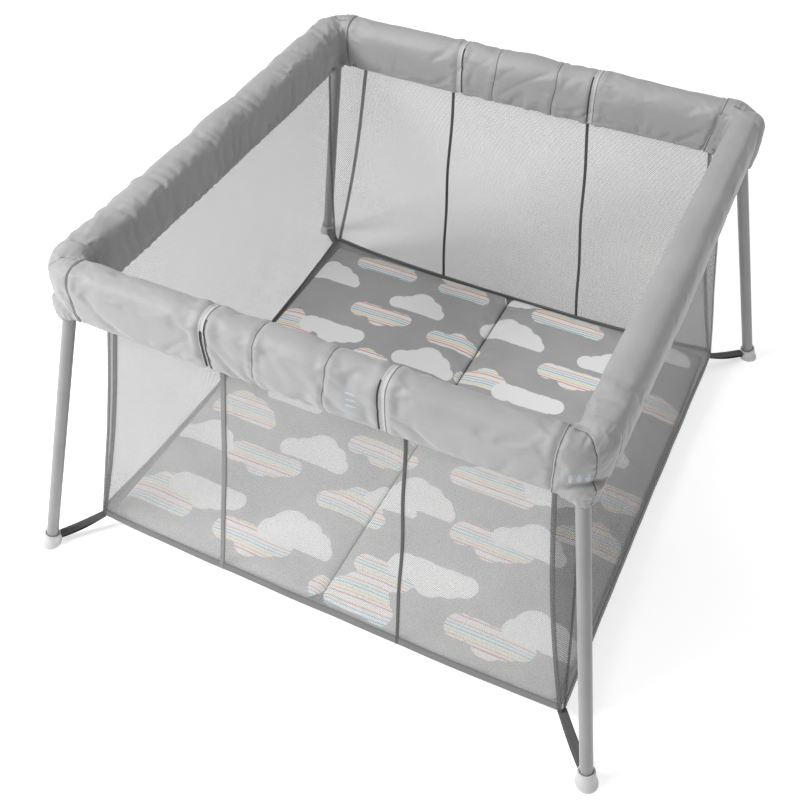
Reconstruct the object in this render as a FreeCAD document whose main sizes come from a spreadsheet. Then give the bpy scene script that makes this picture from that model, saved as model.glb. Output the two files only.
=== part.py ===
import FreeCAD, Part
import Sketcher
import os
import math

# Travel play yard: a square rim of four tubes that break downwards at their
# centres, four splayed legs in corner castings, padded rail covers, corner
# boots, four mesh walls, and a fabric floor with a two-panel mattress.
# Millimetres. +X runs along the front rail to the right, +Y to the back, +Z up.
# The origin is on the ground at the middle of the rim.

doc = FreeCAD.newDocument("play_yard")
V = FreeCAD.Vector

# ---------------------------------------------------------------- dimensions
CELLS = [
    ("ring_half_x", 493.0, "corner to centre of the front and back rails"),
    ("ring_half_y", 515.0, "corner to centre of the side rails"),
    ("rail_height", 728.0, "ground to rail axis"),
    ("splay_x", 134.0, "foot outside the rim corner, along X"),
    ("splay_y", 126.0, "foot outside the rim corner, along Y"),
    ("leg_inset", 18.0, "leg axis inside the rim corner, at rail height"),
    ("tube_radius", 12.7, "rail and leg tube"),
    ("tube_wall", 1.6, "rail and leg tube wall"),
    ("pivot_inset", 60.0, "rail pivot from the rim corner"),
    ("tube_end", 13.0, "rail tube past its pivot"),
    ("pin_rise", 18.0, "centre hinge pin above the rail axis"),
    ("pin_radius", 4.0, "rail pivot pin"),
    ("centre_pin_radius", 3.0, "centre hinge pin"),
    ("run_gap", 0.05, "radial clearance of a pin that turns"),
    ("cheek_inner", 13.3, "clevis cheek inner face from the rail axis"),
    ("cheek_thick", 5.0, "clevis cheek"),
    ("cheek_radius", 14.0, "clevis cheek end"),
    ("hub_outer", 18.3, "casting outside the rim corner"),
    ("hub_inner", 41.0, "casting inside the rim corner"),
    ("hub_up", 16.0, "casting above the rail axis"),
    ("hub_bevel", 24.0, "corner casting, bevel on the outer corner"),
    ("hub_bevel_in", 16.0, "corner casting, bevel on the inner corner"),
    ("hub_down", 46.0, "casting below the rail axis"),
    ("boss_radius", 17.0, "leg socket"),
    ("boss_drop", 78.0, "leg socket mouth below the rail axis, along the leg"),
    ("cap_radius", 17.75, "foot cap"),
    ("cap_rise", 34.0, "foot cap height along the leg"),
    ("hinge_radius", 15.5, "centre hinge body"),
    ("hinge_reach", 62.0, "centre hinge body length"),
    ("hinge_seat", 22.0, "tube end from the rail's centre"),
    ("knuckle_radius", 9.0, "centre hinge knuckle"),
    ("button_radius", 5.0, "rail release button"),
    ("button_place", 34.0, "rail release button from the rail's centre"),
    ("cover_half", 34.0, "half of the padded cover's thickness"),
    ("cover_up", 31.0, "cover above the rail axis"),
    ("cover_down", 83.0, "cover below the rail axis"),
    ("boot_reach", 76.0, "corner boot from the rim corner"),
    ("floor_out_x", 50.0, "wall foot outside the rim, along X"),
    ("floor_out_y", 35.0, "wall foot outside the rim, along Y"),
    ("wall_low", 30.0, "wall foot above ground"),
    ("wall_high", 644.0, "wall top above ground"),
    ("wall_inset", 70.0, "wall top end from the rim corner"),
    ("wall_thick", 1.6, "mesh wall"),
    ("sheet_low", 22.0, "floor sheet above ground"),
    ("sheet_thick", 3.0, "floor sheet"),
    ("pad_low", 26.0, "mattress underside above ground"),
    ("pad_thick", 24.0, "mattress"),
    ("pad_corner", 30.0, "mattress corner radius"),
    ("strap_wide", 20.0, "foot strap webbing"),
    ("strap_thick", 2.0, "foot strap webbing"),
]
sheet = doc.addObject("Spreadsheet::Sheet", "sheet")
for row, (alias, value, note) in enumerate(CELLS, start=1):
    sheet.set("A%d" % row, alias)
    sheet.set("B%d" % row, str(value))
    sheet.set("C%d" % row, note)
    sheet.setAlias("B%d" % row, alias)
doc.recompute()
S = {alias: float(sheet.get(alias)) for alias, _, _ in CELLS}

NODES = []
NAMES = [a for a, _, _ in CELLS]


def bind(text):
    """An expression on the sheet's cells, from words."""
    out, word = "", ""
    for ch in str(text) + " ":
        if ch.isalnum() or ch == "_":
            word += ch
        else:
            out += ("sheet." + word) if word in NAMES else word
            out += ch
            word = ""
    return out.strip()


def put(obj, axis, text):
    obj.setExpression("Placement.Base." + axis, bind(text))


def box(name, x, y, z):
    """A box between pairs of words for x, y and z."""
    b = doc.addObject("Part::Box", name)
    for prop, axis, (lo, hi) in (("Length", "x", x), ("Width", "y", y), ("Height", "z", z)):
        b.setExpression(prop, bind("(%s) - (%s)" % (hi, lo)))
        put(b, axis, lo)
    return b


TURN = {
    "x": FreeCAD.Rotation(V(0, 1, 0), 90),
    "y": FreeCAD.Rotation(V(1, 0, 0), -90),
    "z": FreeCAD.Rotation(),
}


def rod(name, radius, along, start, end, a, b):
    """A cylinder along x, y or z from start to end. a and b are the other two coordinates in order."""
    c = doc.addObject("Part::Cylinder", name)
    c.Placement = FreeCAD.Placement(V(0, 0, 0), TURN[along])
    c.setExpression("Radius", bind(radius))
    c.setExpression("Height", bind("(%s) - (%s)" % (end, start)))
    put(c, along, start)
    for axis, text in zip([q for q in "xyz" if q != along], (a, b)):
        put(c, axis, text)
    return c


def fuse(name, *parts):
    f = doc.addObject("Part::MultiFuse", name)
    f.Shapes = list(parts)
    return f


def cut(name, base, *tools):
    tool = tools[0] if len(tools) == 1 else fuse(name + "_tools", *tools)
    c = doc.addObject("Part::Cut", name)
    c.Base = base
    c.Tool = tool
    return c


def common(name, a, b):
    c = doc.addObject("Part::Common", name)
    c.Base = a
    c.Tool = b
    return c


def node(obj, label):
    obj.Label = label
    NODES.append(obj)
    return obj


def flat_body(name, low_half, high_half, rise, thick, corner=None):
    """A PartDesign plate: a symmetric trapezoid in its own XY plane, padded."""
    body = doc.addObject("PartDesign::Body", name)
    plane = [f for f in body.Origin.OriginFeatures if f.Role == "XY_Plane"][0]
    sk = body.newObject("Sketcher::SketchObject", name + "_outline")
    sk.AttachmentSupport = [(plane, "")]
    sk.MapMode = "FlatFace"
    pts = [V(-400, 0, 0), V(400, 0, 0), V(350, 600, 0), V(-350, 600, 0)]
    for k in range(4):
        sk.addGeometry(Part.LineSegment(pts[k], pts[(k + 1) % 4]), False)
    C = Sketcher.Constraint
    for k in range(4):
        sk.addConstraint(C("Coincident", k, 2, (k + 1) % 4, 1))
    sk.addConstraint(C("PointOnObject", 0, 1, -1))
    sk.addConstraint(C("Symmetric", 0, 1, 0, 2, -2))
    sk.addConstraint(C("Symmetric", 2, 1, 2, 2, -2))
    for label, con, text in (
        ("low_width", C("DistanceX", 0, 1, 0, 2, 800), "2 * (%s)" % low_half),
        ("high_width", C("DistanceX", 2, 2, 2, 1, 700), "2 * (%s)" % high_half),
        ("rise", C("DistanceY", 0, 2, 1, 2, 600), rise),
    ):
        n = sk.addConstraint(con)
        sk.renameConstraint(n, label)
        sk.setExpression("Constraints." + label, bind(text))
    pad = body.newObject("PartDesign::Pad", name + "_pad")
    pad.Profile = sk
    pad.setExpression("Length", bind(thick))
    body.Tip = pad
    if corner:
        doc.recompute()
        upright = [
            "Edge%d" % (n + 1)
            for n, e in enumerate(pad.Shape.Edges)
            if abs(e.Vertexes[0].Z - e.Vertexes[-1].Z) > 1
        ]
        f = body.newObject("PartDesign::Fillet", name + "_corners")
        f.Base = (pad, upright)
        f.setExpression("Radius", bind(corner))
        body.Tip = f
    return body


# ------------------------------------------------------------------- corners
def corner(tag, sx, sy):
    H = "rail_height"

    def X(u0, u1):
        """x interval of a span measured inwards from the rim corner."""
        if sx < 0:
            return ("-ring_half_x + (%s)" % u0, "-ring_half_x + (%s)" % u1)
        return ("ring_half_x - (%s)" % u1, "ring_half_x - (%s)" % u0)

    def Y(v0, v1):
        if sy < 0:
            return ("-ring_half_y + (%s)" % v0, "-ring_half_y + (%s)" % v1)
        return ("ring_half_y - (%s)" % v1, "ring_half_y - (%s)" % v0)

    def at(u):
        return X(u, u)[0]

    def atv(v):
        return Y(v, v)[0]

    foot = V(sx * (S["ring_half_x"] + S["splay_x"]), sy * (S["ring_half_y"] + S["splay_y"]), 0)
    top = V(sx * (S["ring_half_x"] - S["leg_inset"]), sy * (S["ring_half_y"] - S["leg_inset"]), S["rail_height"])
    way = top - foot
    length = way.Length
    way.normalize()
    lean = FreeCAD.Rotation(V(0, 0, 1), way)
    leg_long = "sqrt((splay_x + leg_inset)^2 + (splay_y + leg_inset)^2 + rail_height^2)"

    def leg_rod(name, radius, start, long_words):
        """A cylinder on the leg's axis, from a distance above the ground along it."""
        c = doc.addObject("Part::Cylinder", name)
        c.setExpression("Radius", bind(radius))
        c.setExpression("Height", bind(long_words))
        c.Placement = FreeCAD.Placement(foot + way * start, lean)
        return c

    # leg tube, from inside the cap to inside the casting
    outer = leg_rod(tag + "_leg_outside", "tube_radius", 9.0, leg_long + " - 9 - 4")
    inner = leg_rod(tag + "_leg_inside", "tube_radius - tube_wall", 8.0, leg_long + " - 8 - 3")
    node(cut(tag + "_leg_tube_shape", outer, inner), tag + "_leg_tube")

    # foot cap, flat on the ground
    shell = leg_rod(tag + "_cap_outside", "cap_radius", -14.0, "cap_rise + 14")
    lip = leg_rod(tag + "_cap_lip", "cap_radius + 1.2", -14.0, "24")
    above = box(
        tag + "_above_ground",
        ("%s - 60" % at("-splay_x"), "%s + 60" % at("-splay_x")),
        ("%s - 60" % atv("-splay_y"), "%s + 60" % atv("-splay_y")),
        ("0", "80"),
    )
    bore = leg_rod(tag + "_cap_bore", "tube_radius + 0.03", 8.5, "cap_rise")
    solid = common(tag + "_cap_solid", fuse(tag + "_cap_body", shell, lip), above)
    node(cut(tag + "_foot_cap_shape", solid, bore), tag + "_foot_cap")

    # casting: hub, leg socket and a clevis for each rail
    hub = box(tag + "_hub", X("-hub_outer", "hub_inner"), Y("-hub_outer", "hub_inner"), (H + " - hub_down", H + " + hub_up"))
    # bevels across the hub's outer and inner corners, so that the padded boot can run round it
    away = V(sx, sy, 0)
    away.normalize()
    side = V(0, 0, 1).cross(away)
    edge = V(sx * (S["ring_half_x"] + S["hub_outer"]), sy * (S["ring_half_y"] + S["hub_outer"]), S["rail_height"] - S["hub_down"] - 1)
    bevel = doc.addObject("Part::Box", tag + "_hub_bevel")
    bevel.setExpression("Length", bind("hub_bevel * 2"))
    bevel.setExpression("Width", bind("hub_bevel * 2"))
    bevel.setExpression("Height", bind("hub_down + hub_up + 2"))
    bevel.Placement = FreeCAD.Placement(edge - away * (S["hub_bevel"] / math.sqrt(2)) - side * S["hub_bevel"], FreeCAD.Rotation(away, side, V(0, 0, 1), "XYZ"))
    near = V(sx * (S["ring_half_x"] - S["hub_inner"]), sy * (S["ring_half_y"] - S["hub_inner"]), S["rail_height"] - S["hub_down"] - 1)
    bevel2 = doc.addObject("Part::Box", tag + "_hub_bevel_in")
    bevel2.setExpression("Length", bind("hub_bevel_in * 2"))
    bevel2.setExpression("Width", bind("hub_bevel_in * 2"))
    bevel2.setExpression("Height", bind("hub_down + hub_up + 2"))
    bevel2.Placement = FreeCAD.Placement(near + away * (S["hub_bevel_in"] / math.sqrt(2)) + side * S["hub_bevel_in"], FreeCAD.Rotation(away * -1, side * -1, V(0, 0, 1), "XYZ"))
    hub = cut(tag + "_hub_bevelled", hub, bevel, bevel2)
    boss = doc.addObject("Part::Cylinder", tag + "_boss")
    boss.setExpression("Radius", bind("boss_radius"))
    boss.setExpression("Height", bind("boss_drop - 20"))
    boss.Placement = FreeCAD.Placement(foot + way * (length - S["boss_drop"]), lean)
    cheeks = []
    for n, (c0, c1) in enumerate((("cheek_inner", "cheek_inner + cheek_thick"), ("-cheek_inner - cheek_thick", "-cheek_inner"))):
        cheeks.append(box("%s_cheek_x%d" % (tag, n), X("hub_inner - 3", "pivot_inset"), Y(c0, c1), (H + " - cheek_radius", H + " + cheek_radius")))
        y0, y1 = Y(c0, c1)
        cheeks.append(rod("%s_cheek_xr%d" % (tag, n), "cheek_radius", "y", y0, y1, at("pivot_inset"), H))
        cheeks.append(box("%s_cheek_y%d" % (tag, n), X(c0, c1), Y("hub_inner - 3", "pivot_inset"), (H + " - cheek_radius", H + " + cheek_radius")))
        x0, x1 = X(c0, c1)
        cheeks.append(rod("%s_cheek_yr%d" % (tag, n), "cheek_radius", "x", x0, x1, atv("pivot_inset"), H))
    body = fuse(tag + "_casting_body", hub, boss, *cheeks)
    socket = doc.addObject("Part::Cylinder", tag + "_socket")
    socket.setExpression("Radius", bind("tube_radius + 0.03"))
    socket.setExpression("Height", bind("boss_drop + 2 - 3.5"))
    socket.Placement = FreeCAD.Placement(foot + way * (length - S["boss_drop"] - 2), lean)
    y0, y1 = Y("-30", "30")
    x0, x1 = X("-30", "30")
    holes = [
        rod(tag + "_hole_x", "pin_radius + 0.02", "y", y0, y1, at("pivot_inset"), H),
        rod(tag + "_hole_y", "pin_radius + 0.02", "x", x0, x1, atv("pivot_inset"), H),
    ]
    node(cut(tag + "_corner_casting_shape", body, socket, *holes), tag + "_corner_casting")

    # the two rail pivot pins, with flat heads
    pins = []
    face = "cheek_inner + cheek_thick + 0.05"
    y0, y1 = Y("-(%s)" % face, face)
    x0, x1 = X("-(%s)" % face, face)
    hy0, hy1 = Y("-(%s) - 2" % face, "(%s) + 2" % face)
    hx0, hx1 = X("-(%s) - 2" % face, "(%s) + 2" % face)
    pins.append(
        fuse(
            tag + "_pin_x",
            rod(tag + "_pin_x_shank", "pin_radius", "y", hy0, hy1, at("pivot_inset"), H),
            rod(tag + "_pin_x_head0", "pin_radius + 3", "y", hy0, y0, at("pivot_inset"), H),
            rod(tag + "_pin_x_head1", "pin_radius + 3", "y", y1, hy1, at("pivot_inset"), H),
        )
    )
    pins.append(
        fuse(
            tag + "_pin_y",
            rod(tag + "_pin_y_shank", "pin_radius", "x", hx0, hx1, atv("pivot_inset"), H),
            rod(tag + "_pin_y_head0", "pin_radius + 3", "x", hx0, x0, atv("pivot_inset"), H),
            rod(tag + "_pin_y_head1", "pin_radius + 3", "x", x1, hx1, atv("pivot_inset"), H),
        )
    )
    group = doc.addObject("Part::Compound", tag + "_pivot_pins_group")
    group.Links = pins
    node(group, tag + "_pivot_pins")

    # corner boot: an L-shaped padded sleeve, open below for the leg, with the
    # diagonal gusset that closes the wall's corner behind the leg
    low, high = H + " - cover_down", H + " + cover_up"
    boot_a = box(tag + "_boot_a", X("-cover_half", "boot_reach"), Y("-cover_half", "cover_half"), (low, high))
    boot_b = box(tag + "_boot_b", X("-cover_half", "cover_half"), Y("-cover_half", "boot_reach"), (low, high))
    boot_c = box(tag + "_boot_c", X("cover_half - 1", "cover_half + 14"), Y("cover_half - 1", "cover_half + 14"), (low, high))
    room = [
        box(tag + "_room_a", X("-26", "45"), Y("-26", "45"), (low + " - 1", H + " + 22")),
        box(tag + "_room_b", X("30", "boot_reach + 1"), Y("-26", "26"), (H + " - 24", H + " + 22")),
        box(tag + "_room_c", X("-26", "26"), Y("30", "boot_reach + 1"), (H + " - 24", H + " + 22")),
    ]
    shell = cut(tag + "_boot_shell", fuse(tag + "_boot_body", boot_a, boot_b, boot_c), *room)
    gus = doc.addObject("Part::Feature", tag + "_gusset")
    hx, hy = S["ring_half_x"], S["ring_half_y"]
    zt = S["rail_height"] - S["cover_down"]
    tri = []
    for u, v, z in (
        (S["wall_inset"] - 4, 7, zt + 3),
        (7, S["wall_inset"] - 4, zt + 3),
        (-S["floor_out_x"] + 12, -S["floor_out_y"] + 12, S["wall_low"] + 26),
    ):
        tri.append(V(sx * (hx - u), sy * (hy - v), z))
    face3 = Part.Face(Part.makePolygon(tri + [tri[0]]))
    n3 = (tri[1] - tri[0]).cross(tri[2] - tri[0])
    n3.normalize()
    if n3.x * sx < 0:
        n3 = n3 * -1
    gus.Shape = face3.extrude(n3 * S["wall_thick"])
    node(fuse(tag + "_corner_boot_shape", shell, gus), tag + "_corner_boot")

    # foot strap: webbing from the cap to the floor's corner
    a = V(foot.x, foot.y, 24.0)
    b = V(sx * (hx + S["floor_out_x"]), sy * (hy + S["floor_out_y"]), S["wall_low"] + 6)
    run = b - a
    flat = V(run.x, run.y, 0)
    flat.normalize()
    a = a + flat * (S["cap_radius"] + 8.0)
    b = b - flat * 6.0
    run = b - a
    strap = doc.addObject("Part::Box", tag + "_strap")
    strap.Length = run.Length
    strap.setExpression("Width", bind("strap_wide"))
    strap.setExpression("Height", bind("strap_thick"))
    xdir = V(run)
    xdir.normalize()
    ydir = V(0, 0, 1).cross(xdir)
    ydir.normalize()
    zdir = xdir.cross(ydir)
    rot = FreeCAD.Rotation(xdir, ydir, zdir, "XYZ")
    strap.Placement = FreeCAD.Placement(a - ydir * (S["strap_wide"] / 2) - zdir * (S["strap_thick"] / 2), rot)
    node(strap, tag + "_foot_strap")


for tag, sx, sy in (("front_left", -1, -1), ("front_right", 1, -1), ("back_right", 1, 1), ("back_left", -1, 1)):
    corner(tag, sx, sy)


# --------------------------------------------------------------------- rails
# Each rail is modelled along its own X, centred on its own origin, and placed.
def rail(tag, first, second, half, place):
    """first and second name the halves; half is the cell of the rail's half length."""

    def set_down(obj, label):
        obj.Placement = place
        node(obj, label)

    for side, sgn in ((first, -1), (second, 1)):
        name = "%s_%s" % (tag, side)

        def X(d0, d1):
            """x interval of a span measured outwards from the rail's centre."""
            if sgn > 0:
                return (d0, d1)
            return ("-(%s)" % d1, "-(%s)" % d0)

        end = "%s - pivot_inset + tube_end" % half
        x0, x1 = X("hinge_seat", end)
        tube = rod(name + "_tube_outside", "tube_radius", "x", x0, x1, "0", "0")
        x0, x1 = X("hinge_seat - 1", end + " + 1")
        hollow = rod(name + "_tube_inside", "tube_radius - tube_wall", "x", x0, x1, "0", "0")
        px = X("%s - pivot_inset" % half, "%s - pivot_inset" % half)[0]
        cross = rod(name + "_tube_hole", "pin_radius + run_gap", "y", "-20", "20", px, "0")
        set_down(cut(name + "_tube_shape", tube, hollow, cross), name + "_tube")

        # hinge half: a body over the tube's end and its knuckles on the raised pin
        x0, x1 = X("0.6", "hinge_reach")
        body = rod(name + "_hinge_body", "hinge_radius", "x", x0, x1, "0", "0")
        notch = rod(name + "_hinge_notch", "knuckle_radius + 0.6", "y", "-25", "25", "0", "pin_rise")
        x0, x1 = X("hinge_seat - 0.5", "hinge_reach + 1")
        seat = rod(name + "_hinge_bore", "tube_radius + 0.03", "x", x0, x1, "0", "0")
        tools = [notch, seat]
        if sgn < 0:
            bx = X("button_place", "button_place")[0]
            tools.append(rod(name + "_button_bore", "button_radius + 0.3", "z", "-20", "-tube_radius - 0.2", bx, "0"))
        base = cut(name + "_hinge_base", body, *tools)
        ears = []
        spans = (("7", "13"), ("-13", "-7")) if sgn < 0 else (("-6.6", "6.6"),)
        for n, (y0, y1) in enumerate(spans):
            ears.append(rod("%s_ear%d" % (name, n), "knuckle_radius", "y", y0, y1, "0", "pin_rise"))
            ears.append(box("%s_web%d" % (name, n), X("0", "20"), (y0, y1), ("pin_rise - 15", "pin_rise")))
        gap = "0.03" if sgn < 0 else "run_gap"
        pin_hole = rod(name + "_pin_hole", "centre_pin_radius + " + gap, "y", "-25", "25", "0", "pin_rise")
        tube_room = rod(name + "_tube_room", "tube_radius + 0.03", "x", *X("hinge_seat - 0.5", "hinge_reach + 1"), "0", "0")
        shape = cut(name + "_hinge_shape", fuse(name + "_hinge_all", base, *ears), pin_hole, tube_room)
        set_down(shape, name + "_hinge_half")

    # centre pin with heads, fixed in the first half's ears
    pin = fuse(
        tag + "_pin_all",
        rod(tag + "_pin_shank", "centre_pin_radius", "y", "-14.6", "14.6", "0", "pin_rise"),
        rod(tag + "_pin_head0", "centre_pin_radius + 2", "y", "-14.6", "-13.1", "0", "pin_rise"),
        rod(tag + "_pin_head1", "centre_pin_radius + 2", "y", "13.1", "14.6", "0", "pin_rise"),
    )
    set_down(pin, tag + "_hinge_pin")

    # release button under the first half, in a blind bore of the hinge body
    button = fuse(
        tag + "_button_all",
        rod(tag + "_button_stem", "button_radius", "z", "-19", "-15.2 + 0", "-button_place", "0"),
        rod(tag + "_button_cap", "button_radius + 2", "z", "-22", "-19", "-button_place", "0"),
    )
    set_down(button, tag + "_release_button")

    # padded cover, with a channel for the tube and the hinge
    reach = "%s - boot_reach - 1.5" % half
    pad = box(tag + "_cover_pad", ("-(%s)" % reach, reach), ("-cover_half", "cover_half"), ("-cover_down", "cover_up"))
    channel = box(tag + "_cover_channel", ("-(%s) - 1" % reach, "(%s) + 1" % reach), ("-19", "19"), ("-27", "28.4"))
    set_down(cut(tag + "_cover_shape", pad, channel), tag + "_cover")


along_y = FreeCAD.Rotation(V(0, 0, 1), 90)
straight = FreeCAD.Rotation()
rail("front_rail", "left", "right", "ring_half_x", FreeCAD.Placement(V(0, -S["ring_half_y"], S["rail_height"]), straight))
rail("back_rail", "left", "right", "ring_half_x", FreeCAD.Placement(V(0, S["ring_half_y"], S["rail_height"]), straight))
rail("left_rail", "front", "back", "ring_half_y", FreeCAD.Placement(V(-S["ring_half_x"], 0, S["rail_height"]), along_y))
rail("right_rail", "front", "back", "ring_half_y", FreeCAD.Placement(V(S["ring_half_x"], 0, S["rail_height"]), along_y))


# --------------------------------------------------------------------- walls
# Plates stood up on their lower edges and leant inwards to the rail covers.
def wall(name, half, out_along, out_across, side):
    """side is the outward direction of the wall, as (x, y)."""
    rise = "sqrt((wall_high - wall_low)^2 + %s^2)" % out_across
    body = flat_body(name + "_shape", "%s + %s - 4" % (half, out_along), "%s - wall_inset" % half, rise, "wall_thick")
    up = V(-side[0] * S[out_across], -side[1] * S[out_across], S["wall_high"] - S["wall_low"])
    up.normalize()
    across = V(side[1], -side[0], 0) * -1
    outward = across.cross(up)
    if outward.x * side[0] + outward.y * side[1] < 0:
        across = across * -1
        outward = across.cross(up)
    foot = V(
        side[0] * (S["ring_half_x"] + S[out_across]),
        side[1] * (S["ring_half_y"] + S[out_across]),
        S["wall_low"],
    )
    body.Placement = FreeCAD.Placement(foot, FreeCAD.Rotation(across, up, outward, "XYZ"))
    node(body, name)


wall("front_wall", "ring_half_x", "floor_out_x", "floor_out_y", (0, -1))
wall("back_wall", "ring_half_x", "floor_out_x", "floor_out_y", (0, 1))
wall("left_wall", "ring_half_y", "floor_out_y", "floor_out_x", (-1, 0))
wall("right_wall", "ring_half_y", "floor_out_y", "floor_out_x", (1, 0))

# ---------------------------------------------------------- floor and mattress
for side, sgn in (("left", -1), ("right", 1)):
    half_long = "(ring_half_x + floor_out_x - 8) / 2"
    sheet_body = flat_body("floor_sheet_%s_shape" % side, half_long + " - 0.4", half_long + " - 0.4", "2 * (ring_half_y + floor_out_y - 6)", "sheet_thick", "25")
    middle = sgn * (S["ring_half_x"] + S["floor_out_x"] - 8) / 2
    sheet_body.Placement = FreeCAD.Placement(V(middle, -(S["ring_half_y"] + S["floor_out_y"] - 6), S["sheet_low"]), straight)
    node(sheet_body, "floor_sheet_" + side)
    pad_long = "(ring_half_x + floor_out_x - 12) / 2"
    pad_body = flat_body("mattress_%s_shape" % side, pad_long + " - 0.8", pad_long + " - 0.8", "2 * (ring_half_y + floor_out_y - 10)", "pad_thick", "pad_corner")
    middle = sgn * (S["ring_half_x"] + S["floor_out_x"] - 12) / 2
    pad_body.Placement = FreeCAD.Placement(V(middle, -(S["ring_half_y"] + S["floor_out_y"] - 10), S["pad_low"]), straight)
    node(pad_body, "mattress_" + side)

doc.recompute()

# ------------------------------------------------------------ tests and export
for obj in doc.Objects:
    if "Invalid" in obj.State or "Error" in obj.State:
        raise SystemExit("failed: %s %s" % (obj.Name, obj.State))
for obj in NODES:
    if obj.Shape.isNull() or not obj.Shape.isValid() or obj.Shape.Volume <= 0:
        raise SystemExit("bad shape: " + obj.Label)
if len(NODES) != 60 or len({o.Label for o in NODES}) != 60:
    raise SystemExit("nodes: %d" % len(NODES))

os.makedirs("parts", exist_ok=True)
for obj in NODES:
    obj.Shape.exportStep("parts/%s.step" % obj.Label)
    print("%-28s solids %d  volume %9.0f mm3" % (obj.Label, len(obj.Shape.Solids), obj.Shape.Volume))
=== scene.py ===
import math

import bmesh
import bpy
import numpy as np
from mathutils import Matrix, Vector
from mathutils.bvhtree import BVHTree
from mathutils.kdtree import KDTree


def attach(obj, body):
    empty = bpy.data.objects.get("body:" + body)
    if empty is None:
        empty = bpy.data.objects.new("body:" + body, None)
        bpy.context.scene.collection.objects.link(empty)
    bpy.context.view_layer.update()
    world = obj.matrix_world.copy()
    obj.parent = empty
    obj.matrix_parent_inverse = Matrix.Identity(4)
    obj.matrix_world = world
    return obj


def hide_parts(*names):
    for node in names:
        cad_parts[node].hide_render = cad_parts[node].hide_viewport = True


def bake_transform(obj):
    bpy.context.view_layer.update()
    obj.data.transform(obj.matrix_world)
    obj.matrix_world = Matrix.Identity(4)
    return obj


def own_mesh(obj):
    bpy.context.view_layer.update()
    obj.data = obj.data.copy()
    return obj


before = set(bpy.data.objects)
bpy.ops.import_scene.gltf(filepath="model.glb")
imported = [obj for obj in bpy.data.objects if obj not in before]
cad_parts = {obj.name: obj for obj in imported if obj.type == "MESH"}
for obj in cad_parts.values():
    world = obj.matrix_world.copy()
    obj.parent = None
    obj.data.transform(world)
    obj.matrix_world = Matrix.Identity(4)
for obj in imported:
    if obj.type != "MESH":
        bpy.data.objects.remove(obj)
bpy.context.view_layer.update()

# ------------------------------------------------------------------ sizes (m)
HX, HY, H = 0.493, 0.515, 0.728            # rim corners and rail axis
SPX, SPY, INSET = 0.134, 0.126, 0.018      # leg splay and inset
REACH = 0.076                              # corner boot reach
FOX, FOY = 0.050, 0.035                    # floor corner outside the rim
WALL_TOP, WALL_LOW, WALL_IN = 0.664, 0.030, 0.070
CORNERS = {"front_left": (-1, -1), "front_right": (1, -1), "back_right": (1, 1), "back_left": (-1, 1)}

# ---------------------------------------------------------------------- noise
_rng = np.random.default_rng(11)
_perm = _rng.permutation(512)
_perm = np.concatenate([_perm, _perm, _perm])
_grad = _rng.normal(size=(512, 3))
_grad /= np.linalg.norm(_grad, axis=1)[:, None]


def noise3(x, y, z=0.0):
    """Smooth gradient noise, about -1 to 1."""
    x, y, z = np.broadcast_arrays(np.asarray(x, float), np.asarray(y, float), np.asarray(z, float))
    xi, yi, zi = (np.floor(q).astype(int) for q in (x, y, z))
    xf, yf, zf = x - xi, y - yi, z - zi
    f = [t * t * t * (t * (t * 6 - 15) + 10) for t in (xf, yf, zf)]
    out = 0
    for dx in (0, 1):
        for dy in (0, 1):
            for dz in (0, 1):
                h = _perm[(_perm[(_perm[(xi + dx) & 511] + yi + dy) & 511] + zi + dz) & 511]
                g = _grad[h]
                dot = g[..., 0] * (xf - dx) + g[..., 1] * (yf - dy) + g[..., 2] * (zf - dz)
                w = (f[0] if dx else 1 - f[0]) * (f[1] if dy else 1 - f[1]) * (f[2] if dz else 1 - f[2])
                out = out + w * dot
    return 1.5 * out


def fbm(x, y, z=0.0, octaves=3):
    out, a = 0, 1.0
    for k in range(octaves):
        out = out + a * noise3(x * 2**k, y * 2**k, z + 7.3 * k)
        a *= 0.5
    return out


def crease(x, y, z=0.0, sharp=0.25):
    """Valleys along the noise's zero lines: 0 away from them, down to -1 in them."""
    n = np.abs(noise3(x, y, z))
    return -np.exp(-((n / sharp) ** 1.3))


def smooth(a, b, x):
    t = np.clip((np.asarray(x, float) - a) / (b - a), 0, 1)
    return t * t * (3 - 2 * t)


def bump(x, centre, width):
    return np.exp(-(((np.asarray(x, float) - centre) / width) ** 2))


# --------------------------------------------------------------------- meshes
def make_mesh(name, verts, faces, uvs=None, smooth_shade=True):
    me = bpy.data.meshes.new(name)
    me.from_pydata([tuple(v) for v in verts], [], [tuple(f) for f in faces])
    if uvs is not None:
        layer = me.uv_layers.new(name="cloth")
        loops = np.zeros(len(me.loops), int)
        me.loops.foreach_get("vertex_index", loops)
        layer.data.foreach_set("uv", np.asarray(uvs, float)[loops].ravel())
    me.validate()
    me.update()
    me.shade_smooth() if smooth_shade else me.shade_flat()
    ob = bpy.data.objects.new(name, me)
    bpy.context.scene.collection.objects.link(ob)
    return ob


def grid(name, P, UV=None, ring=False, caps=False, flip=False):
    """A mesh from points P[i, j]; ring closes j; caps closes both ends of a ring."""
    nu, nv = P.shape[:2]
    verts = P.reshape(-1, 3)
    uvs = None if UV is None else UV.reshape(-1, 2)
    faces = []
    last = nv if ring else nv - 1
    for i in range(nu - 1):
        for j in range(last):
            a, b = i * nv + j, i * nv + (j + 1) % nv
            faces.append((a, a + nv, b + nv, b) if not flip else (a, b, b + nv, a + nv))
    if caps:
        verts = list(map(tuple, verts))
        uvs = None if uvs is None else list(map(tuple, uvs))
        for i, turn in ((0, False), (nu - 1, True)):
            c = P[i].mean(0)
            verts.append(tuple(c))
            if uvs is not None:
                uvs.append(tuple(UV[i].mean(0)))
            k = len(verts) - 1
            for j in range(nv):
                a, b = i * nv + j, i * nv + (j + 1) % nv
                tri = (a, b, k) if turn == flip else (b, a, k)
                faces.append(tri)
    return make_mesh(name, verts, faces, uvs)


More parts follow.
